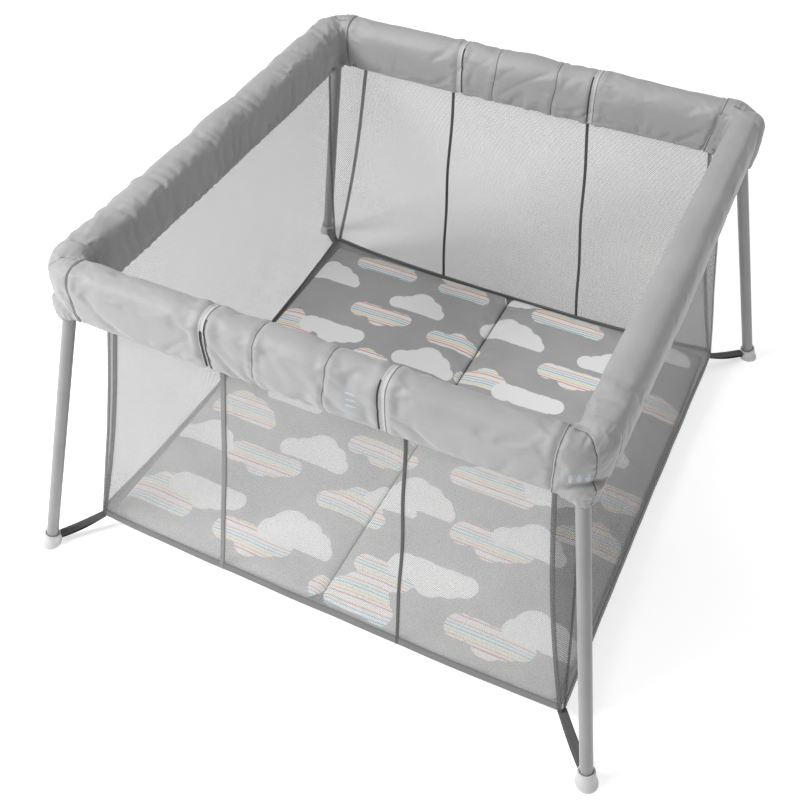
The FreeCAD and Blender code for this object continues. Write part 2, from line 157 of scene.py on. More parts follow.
def solidify(ob, thick, offset=0.0):
    m = ob.modifiers.new("thick", "SOLIDIFY")
    m.thickness = thick
    m.offset = offset
    apply_modifiers(ob)


def apply_modifiers(ob):
    bpy.context.view_layer.update()
    dg = bpy.context.evaluated_depsgraph_get()
    me = bpy.data.meshes.new_from_object(ob.evaluated_get(dg))
    old = ob.data
    ob.modifiers.clear()
    ob.data = me
    bpy.data.meshes.remove(old)


def tube_along(name, pts, radius, sides=12, squash_z=1.0, caps=True):
    """A tube on a list of points."""
    pts = np.asarray(pts, float)
    n = len(pts)
    tan = np.gradient(pts, axis=0)
    tan /= np.linalg.norm(tan, axis=1)[:, None]
    ref = np.array([0, 0, 1.0]) if abs(tan[0][2]) < 0.9 else np.array([1.0, 0, 0])
    P = np.zeros((n, sides, 3))
    UV = np.zeros((n, sides, 2))
    d = np.concatenate([[0], np.cumsum(np.linalg.norm(np.diff(pts, axis=0), axis=1))])
    x = np.cross(ref, tan[0])
    for i in range(n):
        x = x - tan[i] * (x @ tan[i])
        x /= np.linalg.norm(x)
        y = np.cross(tan[i], x)
        r = radius[i] if np.ndim(radius) else radius
        for j in range(sides):
            a = 2 * math.pi * j / sides
            P[i, j] = pts[i] + r * (math.cos(a) * x + squash_z * math.sin(a) * y)
            UV[i, j] = (d[i], a * r)
    return grid(name, P, UV, ring=True, caps=caps)


def band_along(name, centre, wide, normal, thick, uv_along=None):
    """A flat band with rounded edges: centre[i], unit width direction wide[i] scaled by half width, unit normal[i]."""
    centre, wide, normal = (np.asarray(q, float) for q in (centre, wide, normal))
    n = len(centre)
    prof = []
    for k in range(7):
        prof.append((-1 + 2 * k / 6, 1))
    prof += [(1.02, 0.0)]
    for k in range(7):
        prof.append((1 - 2 * k / 6, -1))
    prof += [(-1.02, 0.0)]
    m = len(prof)
    P = np.zeros((n, m, 3))
    UV = np.zeros((n, m, 2))
    d = np.concatenate([[0], np.cumsum(np.linalg.norm(np.diff(centre, axis=0), axis=1))])
    for j, (a, b) in enumerate(prof):
        P[:, j] = centre + wide * a + normal * (b * thick / 2)
        UV[:, j, 0] = d
        UV[:, j, 1] = a * np.linalg.norm(wide, axis=1)
    return grid(name, P, UV, ring=True, caps=True)


# ----------------------------------------------------------------- cloth solve
def simulate(verts, faces, pin, pressure, slack, cap, frames=20, bend=0.4, tension=14.0):
    """Let a closed cloth shape settle under inside pressure; returns how each point moved, in metres."""
    verts = np.asarray(verts, float)
    me = bpy.data.meshes.new("solve")
    me.from_pydata([tuple(v) for v in verts], [], [tuple(int(i) for i in f) for f in faces])
    bm = bmesh.new()
    bm.from_mesh(me)
    bmesh.ops.recalc_face_normals(bm, faces=bm.faces)
    bm.to_mesh(me)
    bm.free()
    ob = bpy.data.objects.new("solve", me)
    bpy.context.scene.collection.objects.link(ob)
    vg = ob.vertex_groups.new(name="pin")
    held = np.round(np.clip(np.asarray(pin, float), 0, 1), 1)
    for w in np.unique(held):
        if w > 0:
            vg.add([int(i) for i in np.nonzero(held == w)[0]], float(w), "REPLACE")
    m = ob.modifiers.new("cloth", "CLOTH")
    c = m.settings
    c.quality = 5
    c.mass = 0.20
    c.air_damping = 1.5
    c.tension_stiffness = tension
    c.compression_stiffness = tension
    c.shear_stiffness = tension * 0.4
    c.bending_stiffness = bend
    c.use_pressure = True
    c.uniform_pressure_force = pressure
    c.shrink_min = -slack
    c.vertex_group_mass = "pin"
    c.effector_weights.gravity = 0.0
    m.collision_settings.use_collision = False
    m.collision_settings.use_self_collision = False
    m.point_cache.frame_start = 1
    m.point_cache.frame_end = frames
    sc = bpy.context.scene
    for f in range(1, frames + 1):
        sc.frame_set(f)
    dg = bpy.context.evaluated_depsgraph_get()
    done = ob.evaluated_get(dg).to_mesh()
    co = np.zeros(len(verts) * 3)
    done.vertices.foreach_get("co", co)
    ob.evaluated_get(dg).to_mesh_clear()
    bpy.data.objects.remove(ob)
    bpy.data.meshes.remove(me)
    sc.frame_set(1)
    move = co.reshape(-1, 3) - verts
    move[~np.isfinite(move).all(1)] = 0
    size = np.linalg.norm(move, axis=1)
    return move * (cap * np.tanh(size / cap) / np.maximum(size, 1e-9))[:, None]


def cubic(values, at, wrap=False):
    """Catmull-Rom along the first axis of values, at fractional indices."""
    n = len(values)
    at = np.asarray(at, float)
    i = np.floor(at).astype(int)
    t = (at - i).reshape((-1,) + (1,) * (values.ndim - 1))
    pick = (lambda k: values[k % n]) if wrap else (lambda k: values[np.clip(k, 0, n - 1)])
    p0, p1, p2, p3 = pick(i - 1), pick(i), pick(i + 1), pick(i + 2)
    return 0.5 * (2 * p1 + (p2 - p0) * t + (2 * p0 - 5 * p1 + 4 * p2 - p3) * t * t + (3 * p1 - p0 - 3 * p2 + p3) * t**3)


def tube_faces(nu, nv):
    out = [(i * nv + j, (i + 1) * nv + j, (i + 1) * nv + (j + 1) % nv, i * nv + (j + 1) % nv) for i in range(nu - 1) for j in range(nv)]
    return out + [tuple(range(nv)), tuple((nu - 1) * nv + j for j in range(nv))[::-1]]


# ------------------------------------------------------------------ materials
def new_mat(name):
    m = bpy.data.materials.new(name)
    m.use_nodes = True
    nt = m.node_tree
    nt.nodes.clear()
    out = nt.nodes.new("ShaderNodeOutputMaterial")
    b = nt.nodes.new("ShaderNodeBsdfPrincipled")
    nt.links.new(b.outputs[0], out.inputs[0])
    return m, nt, b


class G:
    """Short words for building a node tree."""

    def __init__(self, nt):
        self.nt = nt

    def node(self, kind, **props):
        n = self.nt.nodes.new(kind)
        for k, v in props.items():
            setattr(n, k, v)
        return n

    def link(self, a, b):
        self.nt.links.new(a, b)

    def set(self, socket, value):
        if isinstance(value, bpy.types.NodeSocket):
            self.link(value, socket)
        else:
            socket.default_value = value

    def math(self, op, a, b=0.0, c=0.0, clamp=False):
        n = self.node("ShaderNodeMath", operation=op, use_clamp=clamp)
        for s, v in zip(n.inputs, (a, b, c)):
            self.set(s, v)
        return n.outputs[0]

    def uv(self):
        return self.node("ShaderNodeUVMap", uv_map="cloth").outputs[0]

    def obj(self):
        return self.node("ShaderNodeTexCoord").outputs["Object"]

    def scale(self, vec, s):
        n = self.node("ShaderNodeMapping")
        self.link(vec, n.inputs["Vector"])
        n.inputs["Scale"].default_value = s if hasattr(s, "__len__") else (s, s, s)
        return n.outputs[0]

    def noise(self, vec, scale, detail=3.0, rough=0.5):
        n = self.node("ShaderNodeTexNoise")
        self.link(vec, n.inputs["Vector"])
        n.inputs["Scale"].default_value = scale
        n.inputs["Detail"].default_value = detail
        n.inputs["Roughness"].default_value = rough
        return n.outputs["Fac"]

    def ramp(self, fac, stops):
        n = self.node("ShaderNodeValToRGB")
        self.link(fac, n.inputs[0])
        els = n.color_ramp.elements
        while len(els) < len(stops):
            els.new(0.5)
        for e, (p, c) in zip(els, stops):
            e.position = p
            e.color = (*c, 1.0) if len(c) == 3 else c
        return n.outputs[0]

    def remap(self, x, a, b, c=0.0, d=1.0):
        n = self.node("ShaderNodeMapRange")
        self.set(n.inputs[0], x)
        for k, v in enumerate((a, b, c, d), start=1):
            n.inputs[k].default_value = v
        return n.outputs[0]

    def mix(self, fac, a, b, mode="MIX"):
        n = self.node("ShaderNodeMix", data_type="RGBA", blend_type=mode)
        self.set(n.inputs[0], fac)
        for s, v in ((n.inputs[6], a), (n.inputs[7], b)):
            if isinstance(v, bpy.types.NodeSocket):
                self.link(v, s)
            else:
                s.default_value = (*v, 1.0) if len(v) == 3 else v
        return n.outputs[2]

    def bump(self, height, strength, distance, normal=None):
        n = self.node("ShaderNodeBump")
        self.link(height, n.inputs["Height"])
        n.inputs["Strength"].default_value = strength
        n.inputs["Distance"].default_value = distance
        if normal is not None:
            self.link(normal, n.inputs["Normal"])
        return n.outputs[0]

    def split(self, vec):
        n = self.node("ShaderNodeSeparateXYZ")
        self.link(vec, n.inputs[0])
        return n.outputs


def srgb(v):
    v = v / 255.0
    return v / 12.92 if v <= 0.04045 else ((v + 0.055) / 1.055) ** 2.4


def grey(v, warm=0.0):
    return (srgb(v + warm), srgb(v), srgb(v - warm))


def weave_height(g, vec, pitch):
    """Plain weave: over and under threads of the given pitch in metres."""
    x, y, _ = g.split(vec)
    k = 2 * math.pi / (2 * pitch)
    sx = g.math("SINE", g.math("MULTIPLY", x, k))
    sy = g.math("SINE", g.math("MULTIPLY", y, k))
    over = g.math("MULTIPLY", sx, sy)
    return g.remap(over, -1, 1)


def cover_material(name="cover_cloth", tone=168, sheen=0.25):
    m, nt, b = new_mat(name)
    g = G(nt)
    uv = g.uv()
    weave = weave_height(g, uv, 0.00042)
    cloud = g.noise(uv, 9.0, 4.0, 0.55)
    slub = g.noise(g.scale(uv, (60, 900, 1)), 1.0, 2.0)
    tone_fac = g.math("ADD", g.math("MULTIPLY", cloud, 0.6), g.math("MULTIPLY", slub, 0.4))
    base = g.ramp(tone_fac, [(0.25, grey(tone - 7)), (0.75, grey(tone + 6))])
    base = g.mix(g.math("MULTIPLY", weave, 0.14), base, grey(tone - 40))
    # painted shadow: the cloth's colour darkens to a thin dark line along each seam and each boot arm's end
    for nm in ("seam_shadow_a", "seam_shadow_b"):
        e = g.node("ShaderNodeAttribute", attribute_name=nm).outputs["Fac"]
        gap = g.math("ABSOLUTE", g.math("SUBTRACT", e, 1.0))
        base = g.mix(g.remap(gap, 0.0005, 0.0016, 0.80, 0.0), base, grey(62))
    g.link(base, b.inputs["Base Color"])
    g.link(g.remap(g.noise(uv, 40.0, 3.0), 0.3, 0.7, 0.52, 0.66), b.inputs["Roughness"])
    b.inputs["Sheen Weight"].default_value = sheen
    b.inputs["Sheen Roughness"].default_value = 0.45
    b.inputs["Specular IOR Level"].default_value = 0.42
    n1 = g.bump(weave, 0.25, 0.0002)
    n2 = g.bump(g.noise(uv, 55.0, 4.0, 0.6), 0.18, 0.0012, n1)
    g.link(n2, b.inputs["Normal"])
    return m


def mesh_material(name="knit_mesh", tone=150, floor_alpha=0.06, hole=0.31, edge=0.46, most=0.70):
    """Knitted mesh: staggered round holes between fine threads."""
    m, nt, b = new_mat(name)
    g = G(nt)
    uv = g.uv()
    pitch = 0.0036
    x, y, _ = g.split(g.scale(uv, 1.0 / pitch))
    row = g.math("FLOOR", g.math("MULTIPLY", y, 1.1547))
    shift = g.math("MULTIPLY", g.math("MODULO", row, 2.0), 0.5)
    fx = g.math("SUBTRACT", g.math("FRACT", g.math("ADD", g.math("ADD", x, shift), 1000.0)), 0.5)
    fy = g.math("SUBTRACT", g.math("FRACT", g.math("ADD", g.math("MULTIPLY", y, 1.1547), 1000.0)), 0.5)
    r2 = g.math("ADD", g.math("MULTIPLY", fx, fx), g.math("MULTIPLY", g.math("MULTIPLY", fy, fy), 0.75))
    r = g.math("SQRT", r2)
    thread = g.remap(r, hole, edge)
    alpha = g.math("ADD", g.math("MULTIPLY", thread, most - floor_alpha), floor_alpha)
    shade = g.noise(uv, 6.0, 3.0)
    base = g.ramp(shade, [(0.3, grey(tone - 6)), (0.7, grey(tone + 6))])
    g.link(base, b.inputs["Base Color"])
    g.link(alpha, b.inputs["Alpha"])
    g.link(g.remap(shade, 0.3, 0.7, 0.7, 0.85), b.inputs["Roughness"])
    g.link(g.bump(thread, 0.5, 0.0004), b.inputs["Normal"])
    return m


def plain_cloth(name, tone, pitch=0.0005, warm=0.0, bump_size=0.0003):
    m, nt, b = new_mat(name)
    g = G(nt)
    uv = g.uv()
    weave = weave_height(g, uv, pitch)
    cloud = g.noise(uv, 14.0, 4.0, 0.6)
    base = g.ramp(cloud, [(0.3, grey(tone - 7, warm)), (0.7, grey(tone + 6, warm))])
    base = g.mix(g.math("MULTIPLY", weave, 0.18), base, grey(max(tone - 45, 5), warm))
    g.link(base, b.inputs["Base Color"])
    g.link(g.remap(cloud, 0.3, 0.7, 0.7, 0.85), b.inputs["Roughness"])
    b.inputs["Sheen Weight"].default_value = 0.15
    g.link(g.bump(g.noise(uv, 60.0, 3.0), 0.15, 0.001, g.bump(weave, 0.3, bump_size)), b.inputs["Normal"])
    return m


def webbing_material(name, tone, rib=0.0016, light=0.0):
    """Flat webbing with ribs across its length and fine threads along it."""
    m, nt, b = new_mat(name)
    g = G(nt)
    uv = g.uv()
    x, y, _ = g.split(uv)
    ribs = g.remap(g.math("SINE", g.math("MULTIPLY", x, 2 * math.pi / rib)), -1, 1)
    warp = g.remap(g.math("SINE", g.math("MULTIPLY", y, 2 * math.pi / 0.0012)), -1, 1)
    both = g.math("ADD", g.math("MULTIPLY", ribs, 0.6), g.math("MULTIPLY", warp, 0.4))
    base = g.ramp(both, [(0.1, grey(tone - 18)), (0.9, grey(tone + 10))])
    wear = g.noise(uv, 80.0, 3.0)
    base = g.mix(g.remap(wear, 0.55, 0.75, 0.0, 0.25), base, grey(min(tone + 35, 250)))
    g.link(base, b.inputs["Base Color"])
    g.link(g.remap(wear, 0.3, 0.7, 0.65, 0.85), b.inputs["Roughness"])
    g.link(g.bump(both, 0.4, 0.0004), b.inputs["Normal"])
    return m


def hard_material(name, tone, kind="paint", warm=0.0, coat=0.0):
    """Powder coat, moulded plastic or plain steel, by object coordinates."""
    m, nt, b = new_mat(name)
    g = G(nt)
    p = g.obj()
    fine = g.noise(p, 900.0 if kind != "paint" else 1400.0, 2.0)
    broad = g.noise(p, 14.0, 4.0)
    base = g.ramp(broad, [(0.3, grey(tone - 4, warm)), (0.7, grey(tone + 4, warm))])
    base = g.mix(g.remap(fine, 0.6, 0.85, 0.0, 0.18), base, grey(max(tone - 30, 4), warm))
    g.link(base, b.inputs["Base Color"])
    lo, hi = {"paint": (0.34, 0.46), "plastic": (0.42, 0.56), "steel": (0.24, 0.4)}[kind]
    g.link(g.remap(g.noise(p, 60.0, 4.0), 0.3, 0.7, lo, hi), b.inputs["Roughness"])
    if kind == "steel":
        b.inputs["Metallic"].default_value = 1.0
    if coat:
        b.inputs["Coat Weight"].default_value = coat
        b.inputs["Coat Roughness"].default_value = 0.3
    g.link(g.bump(fine, 0.12 if kind != "paint" else 0.06, 0.0003), b.inputs["Normal"])
    return m


def print_material(name="cloud_print", tone=172):
    """Grey cloth printed with plain white clouds and clouds of thin coloured stripes."""
    m, nt, b = new_mat(name)
    g = G(nt)
    uv = g.uv()
    plain = g.node("ShaderNodeAttribute", attribute_name="plain_cloud").outputs["Fac"]
    lined = g.node("ShaderNodeAttribute", attribute_name="lined_cloud").outputs["Fac"]
    weave = weave_height(g, uv, 0.00055)
    cloud = g.noise(uv, 12.0, 4.0, 0.6)
    ground = g.ramp(cloud, [(0.3, grey(tone - 5)), (0.7, grey(tone + 5))])
    x, y, _ = g.split(uv)
    wobble = g.math("MULTIPLY", g.math("SUBTRACT", g.noise(uv, 7.0, 1.0), 0.5), 0.010)
    t = g.math("FRACT", g.math("ADD", g.math("DIVIDE", g.math("ADD", y, wobble), 0.0560), 100.0))
    white = grey(250)
    cols = [(226, 120, 100), (240, 205, 120), (236, 232, 150), (120, 196, 205), (160, 205, 235), (238, 170, 120), (150, 205, 190)]
    stops = []
    n = len(cols)
    for k, c in enumerate(cols):
        c = tuple(srgb(v) for v in c)
        a = k / n
        stops += [(a, white), (a + 0.045, white), (a + 0.05, c), (a + 0.092, c), (a + 0.097, white)]
    stops = [(max(0.0, min(p, 1.0)), c) for p, c in stops][:32]
    ramp = g.node("ShaderNodeValToRGB")
    ramp.color_ramp.interpolation = "LINEAR"
    g.link(t, ramp.inputs[0])
    els = ramp.color_ramp.elements
    while len(els) < len(stops):
        els.new(0.5)
    for e, (p, c) in zip(els, stops):
        e.position = p
        e.color = (*c, 1.0)
    stripes = ramp.outputs[0]
    col = g.mix(g.remap(lined, -0.0006, 0.0006), ground, stripes)
    col = g.mix(g.remap(plain, -0.0006, 0.0006), col, grey(252))
    col = g.mix(g.math("MULTIPLY", weave, 0.10), col, grey(120))
    g.link(col, b.inputs["Base Color"])
    g.link(g.remap(cloud, 0.3, 0.7, 0.68, 0.8), b.inputs["Roughness"])
    b.inputs["Sheen Weight"].default_value = 0.12
    g.link(g.bump(g.noise(uv, 45.0, 3.0), 0.15, 0.001, g.bump(weave, 0.25, 0.0003)), b.inputs["Normal"])
    return m


MAT = {
    "cover": cover_material(tone=160),
    "mesh": mesh_material(tone=140, floor_alpha=0.05, hole=0.29, edge=0.45, most=0.74),
    # the front wall's knit: a paler copy of the mesh, painted light for its lamp-lit face, with larger holes
    "mesh_open_painted_lit": mesh_material("knit_mesh_open_painted_lit", tone=204, floor_alpha=0.02, hole=0.35, edge=0.49, most=0.62),
    "mesh_dense": mesh_material("doubled_mesh", tone=108, floor_alpha=0.42, most=0.80),
    "floor": plain_cloth("floor_cloth", 158),
    "tape": plain_cloth("binding_tape", 128, 0.0006),
    "tape_dark": plain_cloth("dark_tape", 74, 0.0006),
    "hem": plain_cloth("hem_cloth", 116, 0.0006),
    "strap_light": webbing_material("light_wrap", 184),
    "webbing": webbing_material("foot_webbing", 96),
    "print": print_material(tone=180),
    "leg": hard_material("leg_powder_coat", 142, "paint", coat=0.15),
    "rail": hard_material("rail_powder_coat", 150, "paint"),
    "foot": hard_material("foot_plastic", 196, "plastic"),
    "casting": hard_material("casting_plastic", 118, "plastic"),
    "hinge": hard_material("hinge_plastic", 105, "plastic"),
    "button": hard_material("button_plastic", 84, "plastic"),
    "steel": hard_material("pin_steel", 185, "steel"),
    "mark": plain_cloth("mark_print", 190, 0.0005, warm=-9),
    "black": webbing_material("dark_loop", 52),
}

for name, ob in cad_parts.items():
    if name.endswith("leg_tube"):
        key = "leg"
    elif name.endswith("_tube"):
        key = "rail"
    elif name.endswith("foot_cap"):
        key = "foot"
    elif name.endswith("casting"):
        key = "casting"
    elif name.endswith("hinge_half"):
        key = "hinge"
    elif name.endswith(("pins", "hinge_pin")):
        key = "steel"
    elif name.endswith("button"):
        key = "button"
    else:
        continue
    ob.data.materials.clear()
    ob.data.materials.append(MAT[key])


def note(ob, name, value):
    """Keep a number for each point on the mesh."""
    at = ob.data.attributes.new(name, "FLOAT", "POINT")
    at.data.foreach_set("value", np.asarray(value, np.float32))


def dress(ob, mat, body, replaces=()):
    ob.data.materials.clear()
    ob.data.materials.append(MAT[mat])
    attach(ob, body)
    if replaces:
        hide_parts(*replaces)
    return ob


# ------------------------------------------------------------- cover profile
def closed_curve(pts, n):
    """Periodic Catmull-Rom through pts, resampled to n even steps."""
    pts = np.asarray(pts, float)
    m = len(pts)
    out = []
    for i in range(m):
        p0, p1, p2, p3 = pts[(i - 1) % m], pts[i], pts[(i + 1) % m], pts[(i + 2) % m]
        for k in range(24):
            t = k / 24
            out.append(0.5 * ((2 * p1) + (-p0 + p2) * t + (2 * p0 - 5 * p1 + 4 * p2 - p3) * t * t + (-p0 + 3 * p1 - 3 * p2 + p3) * t**3))
    out = np.array(out)
    seg = np.linalg.norm(np.diff(np.vstack([out, out[:1]]), axis=0), axis=1)
    d = np.concatenate([[0], np.cumsum(seg)])
    want = np.linspace(0, d[-1], n, endpoint=False)
    full = np.vstack([out, out[:1]])
    res = np.stack([np.interp(want, d, full[:, k]) for k in (0, 1)], 1)
    return res, want, d[-1]


half_prof = [(0, -79), (13, -80.5), (23, -81), (28, -79.5), (30, -73), (32, -50), (33.6, -20), (33.8, -2), (31.5, 13), (24.5, 24), (13, 30), (0, 31.4)]
prof_pts = half_prof + [(-b, z) for b, z in half_prof[-2:0:-1]]
NPROF = 112
PROF, PARC, PLEN = closed_curve(np.array(prof_pts) / 1000.0, NPROF)
_t = np.roll(PROF, -1, 0) - np.roll(PROF, 1, 0)
_t /= np.linalg.norm(_t, axis=1)[:, None]
PNRM = np.stack([_t[:, 1], -_t[:, 0]], 1)          # outward normal for this winding
if ((PROF - PROF.mean(0)) * PNRM).sum() < 0:
    PNRM = -PNRM
PARC_TOP = PARC - PLEN / 2                          # 0 at the top, + on the inner side

RAILS = {
    # origin, along, outward
    "front_rail": (np.array([0, -HY, H]), np.array([1.0, 0, 0]), np.array([0, -1.0, 0]), HX),
    "back_rail": (np.array([0, HY, H]), np.array([1.0, 0, 0]), np.array([0, 1.0, 0]), HX),
    "left_rail": (np.array([-HX, 0, H]), np.array([0, 1.0, 0]), np.array([-1.0, 0, 0]), HY),
    "right_rail": (np.array([HX, 0, H]), np.array([0, 1.0, 0]), np.array([1.0, 0, 0]), HY),
}
SEED = {"front_rail": 1.0, "back_rail": 14.0, "left_rail": 27.0, "right_rail": 41.0}
# seams across each cover: place along the rail, slant, depth, pucker
SEAMS = {
    "front_rail": [(-0.073, 0.10, 0.0016, 0.0010), (0.060, 0.02, 0.0018, 0.0012)],
    "back_rail": [(-0.070, 0.02, 0.0012, 0.0008), (0.072, 0.02, 0.0012, 0.0008)],
    "left_rail": [],
    "right_rail": [],
}
WRAPS = {"front_rail": (-0.170, 0.165), "back_rail": (-0.156, 0.160), "left_rail": (), "right_rail": ()}


def cover_offset(rail, s, a, b, z):
    """How far the cloth stands off its plain shape, in metres. s along the rail, a around it, b outwards, z up."""
    k = SEED[rail]
    L = RAILS[rail][3]
    side = np.where(b > 0, 1.0, 0.0)
    d = 0.0011 * fbm(s / 0.16 + k, a / 0.11, k, 3)
    lower = smooth(0.010, -0.030, z)
    clear = smooth(-0.079, -0.058, z)
    if rail == "left_rail":
        # the sleeve is slack: folds run across its inner face all along, deepest at the middle
        inner = smooth(0.012, -0.024, b)
        middle = bump(s, 0.02, 0.075)
        ends = bump(s, -L + 0.16, 0.11)
        amp = 0.0013 + 0.0042 * middle + 0.0024 * ends
        warp = s + 0.018 * noise3(z / 0.05, s / 0.2, 5.0)
        d = d + clear * inner * amp * (noise3(warp / 0.021, z / 0.16, k) + 0.9 * crease(warp / 0.034, z / 0.20, k + 3, 0.22))
        d = d + (1 - inner) * 0.0016 * middle * noise3(warp / 0.018, a / 0.10, k + 9)
    elif rail == "right_rail":
        d = d + 0.0007 * noise3(s / 0.07, a / 0.05, k)
        d = d - 0.0075 * smooth(-0.15, 0.45, s) * smooth(0.010, 0.030, b)
        d = d + 0.0016 * bump(s, -L + 0.11, 0.05) * noise3(s / 0.016, a / 0.05, k)
    else:
        # soft diagonal drag lines on the middle panel, flat tight cloth beyond it
        mid = smooth(0.20, 0.13, np.abs(s))
        skew = s * 0.8 + a * 0.6
        d = d + mid * (0.0014 * noise3(skew / 0.024, (a - s) / 0.12, k) + 0.0021 * crease(skew / 0.055, (a - s) / 0.15, k + 2, 0.13))
        d = d + 0.0006 * noise3(s / 0.05, a / 0.05, k + 4)
    for s0, slant, depth, pucker in SEAMS[rail]:
        line = s0 + slant * (-z) * 0.25 + 0.004 * np.sin(z / 0.022 + k)
        e = s - line
        d = d - depth * np.exp(-((e / 0.0022) ** 2)) + 0.0009 * np.exp(-(((np.abs(e) - 0.008) / 0.006) ** 2))
        d = d + pucker * np.exp(-np.abs(e) / 0.016) * np.sin(a / 0.0062 + 4 * noise3(s / 0.03, a / 0.02, k)) * smooth(0.0, 0.004, np.abs(e))
    for w in WRAPS[rail]:
        e = s - w
        d = d - 0.0030 * np.exp(-((e / 0.0062) ** 2)) + 0.0012 * np.exp(-(((np.abs(e) - 0.017) / 0.009) ** 2))
        d = d + 0.0011 * np.exp(-np.abs(e) / 0.030) * np.sin(a / 0.0095 + 5 * noise3(s / 0.05, a / 0.03, k + 1)) * smooth(0.004, 0.014, np.abs(e))
    # drawn in where it runs under each corner boot
    for sgn in (-1, 1):
        tag = corner_at(rail, sgn)
        if rail in ("front_rail", "back_rail"):
            edge = BOOT_U[tag][0] - BOOT_U[tag][1] * z
        else:
            edge = BOOT_V[tag] + 0.10 * (z + 0.02)
        edge = np.maximum(edge, ROUND[tag][0] + 0.002)
        e = sgn * s - (L - edge)                   # + inside the boot
        step = 1.0 if rail in ("front_rail", "back_rail") else 0.0
        d = d - 0.0034 * smooth(-0.006, 0.003, e) * step
        d = d + step * 0.0012 * np.exp(-np.abs(e) / 0.020) * np.sin(a / 0.0078 + 5 * noise3(a / 0.03, s / 0.05, k + sgn)) * smooth(0.001, 0.008, np.abs(e))
    # padding over the hinge button on top
    top = smooth(0.008, 0.024, z) * bump(s, 0.0, 0.045)
    d = d * (1 - 0.8 * top) + 0.0024 * top
    # hem along the lower edge on both faces, with its stitches
    hem = np.exp(-(((z + 0.0695) / 0.0013) ** 2))
    d = d - 0.0013 * hem * (0.75 + 0.25 * np.sin(s / 0.0006))
    return d


BOOT_U = {"front_left": (0.034, 0.20), "front_right": (0.040, 0.02), "back_right": (0.066, 0.18), "back_left": (0.052, 0.0)}
BOOT_V = {"front_left": 0.030, "front_right": 0.024, "back_right": 0.036, "back_left": 0.034}
# plan radius of each rim corner's middle line, and how far the cloth is drawn in there
ROUND = {"front_left": (0.044, 0.000), "front_right": (0.042, 0.000), "back_right": (0.046, 0.002), "back_left": (0.044, 0.001)}


def corner_at(rail, sgn):
    lo, hi = {"front_rail": ("front_left", "front_right"), "back_rail": ("back_left", "back_right"), "left_rail": ("front_left", "back_left"), "right_rail": ("front_right", "back_right")}[rail]
    return lo if sgn < 0 else hi


SETTLED = {}
SLACK = {"front_rail": 0.022, "back_rail": 0.018, "left_rail": 0.055, "right_rail": 0.016}


def settle(rail):
    """Solve the whole sleeve of one rail once, held at its ends and under its wraps."""
    O, A, B, L = RAILS[rail]
    n = 112
    s = np.linspace(-(L - 0.030), L - 0.030, n)
    P, _ = cover_points(rail, s, False)
    P = P[:, ::2]
    hold = np.maximum(bump(s, s[0], 0.016), bump(s, s[-1], 0.016))
    for w in WRAPS[rail]:
        hold = np.maximum(hold, bump(s, w, 0.010))
    under = smooth(-0.068, -0.078, PROF[::2, 1])
    pin = np.maximum(np.where(hold > 0.93, 1.0, hold * 0.5)[:, None], np.where(under > 0.5, 0.9, 0.0)[None, :])
    move = simulate(P.reshape(-1, 3), tube_faces(n, P.shape[1]), pin.ravel(), 2.6, SLACK[rail], 0.0065 if rail == "left_rail" else 0.0040)
    move = move.reshape(n, -1, 3) * (1 - hold)[:, None, None]
    # over the hinge and its button the padding keeps the cloth from sinking
    nrm = PNRM[::2, 0][:, None] * B + PNRM[::2, 1][:, None] * np.array([0, 0, 1.0])
    sunk = np.minimum((move * nrm).sum(-1), 0)
    near = np.maximum(bump(s, 0.0, 0.075), 0.35)
    move = move - nrm * (sunk * near[:, None])[..., None]
    SETTLED[rail] = (s, move)


def cover_points(rail, s_values, solved=True):
    O, A, B, L = RAILS[rail]
    S, J = np.meshgrid(s_values, np.arange(NPROF), indexing="ij")
    b, z = PROF[J, 0], PROF[J, 1]
    nb, nz = PNRM[J, 0], PNRM[J, 1]
    a = PARC_TOP[J]
    off = cover_offset(rail, S, a, b, z)
    b2, z2 = b + nb * off, z + nz * off
    # the lower edge hangs a little and lifts at its ends
    sag = 0.0030 * np.cos(np.clip(S / L, -1, 1) * math.pi / 2) - 0.002
    z2 = z2 - sag * smooth(-0.02, -0.08, z)
    P = O + S[..., None] * A + b2[..., None] * B + z2[..., None] * np.array([0, 0, 1.0])
    UV = np.stack([S, a], -1)
    if solved and rail in SETTLED:
        sg, move = SETTLED[rail]
        at = np.clip((np.asarray(s_values, float) - sg[0]) / (sg[1] - sg[0]), 0, len(sg) - 1)
        m = cubic(move, at)
        m = np.swapaxes(cubic(np.swapaxes(m, 0, 1), np.arange(NPROF) / 2, wrap=True), 0, 1)
        P = P + m
    return P, UV


def cover_section(name, rail, s0, s1, step=0.0045):
    n = max(4, int(round((s1 - s0) / step)))
    s = np.linspace(s0, s1, n + 1)
    P, UV = cover_points(rail, s)
    O, A, B, L = RAILS[rail]
    flip = np.cross(A, B)[2] > 0
    ob = grid(name, P, UV, ring=True, caps=True, flip=flip)
    # each point's distance from each seam line, read by the cloth's colour to paint a shadow along the seam
    for nm, (s_at, slant, _, _) in zip(("seam_shadow_a", "seam_shadow_b"), SEAMS[rail]):
        z = np.broadcast_to(PROF[:, 1], (len(s), NPROF))
        e = s[:, None] - (s_at + slant * (-z) * 0.25 + 0.004 * np.sin(z / 0.022 + SEED[rail]))
        note(ob, nm, np.concatenate([1 + e.ravel(), [0.0, 0.0]]))
    # the closed ends keep their own normals, so that the cloth runs on unbroken from piece to piece
    k = len(P) * NPROF
    for e in ob.data.edges:
        i, j = e.vertices
        if i < k and j < k and i // NPROF == j // NPROF and i // NPROF in (0, len(P) - 1):
            e.use_edge_sharp = True
    return ob


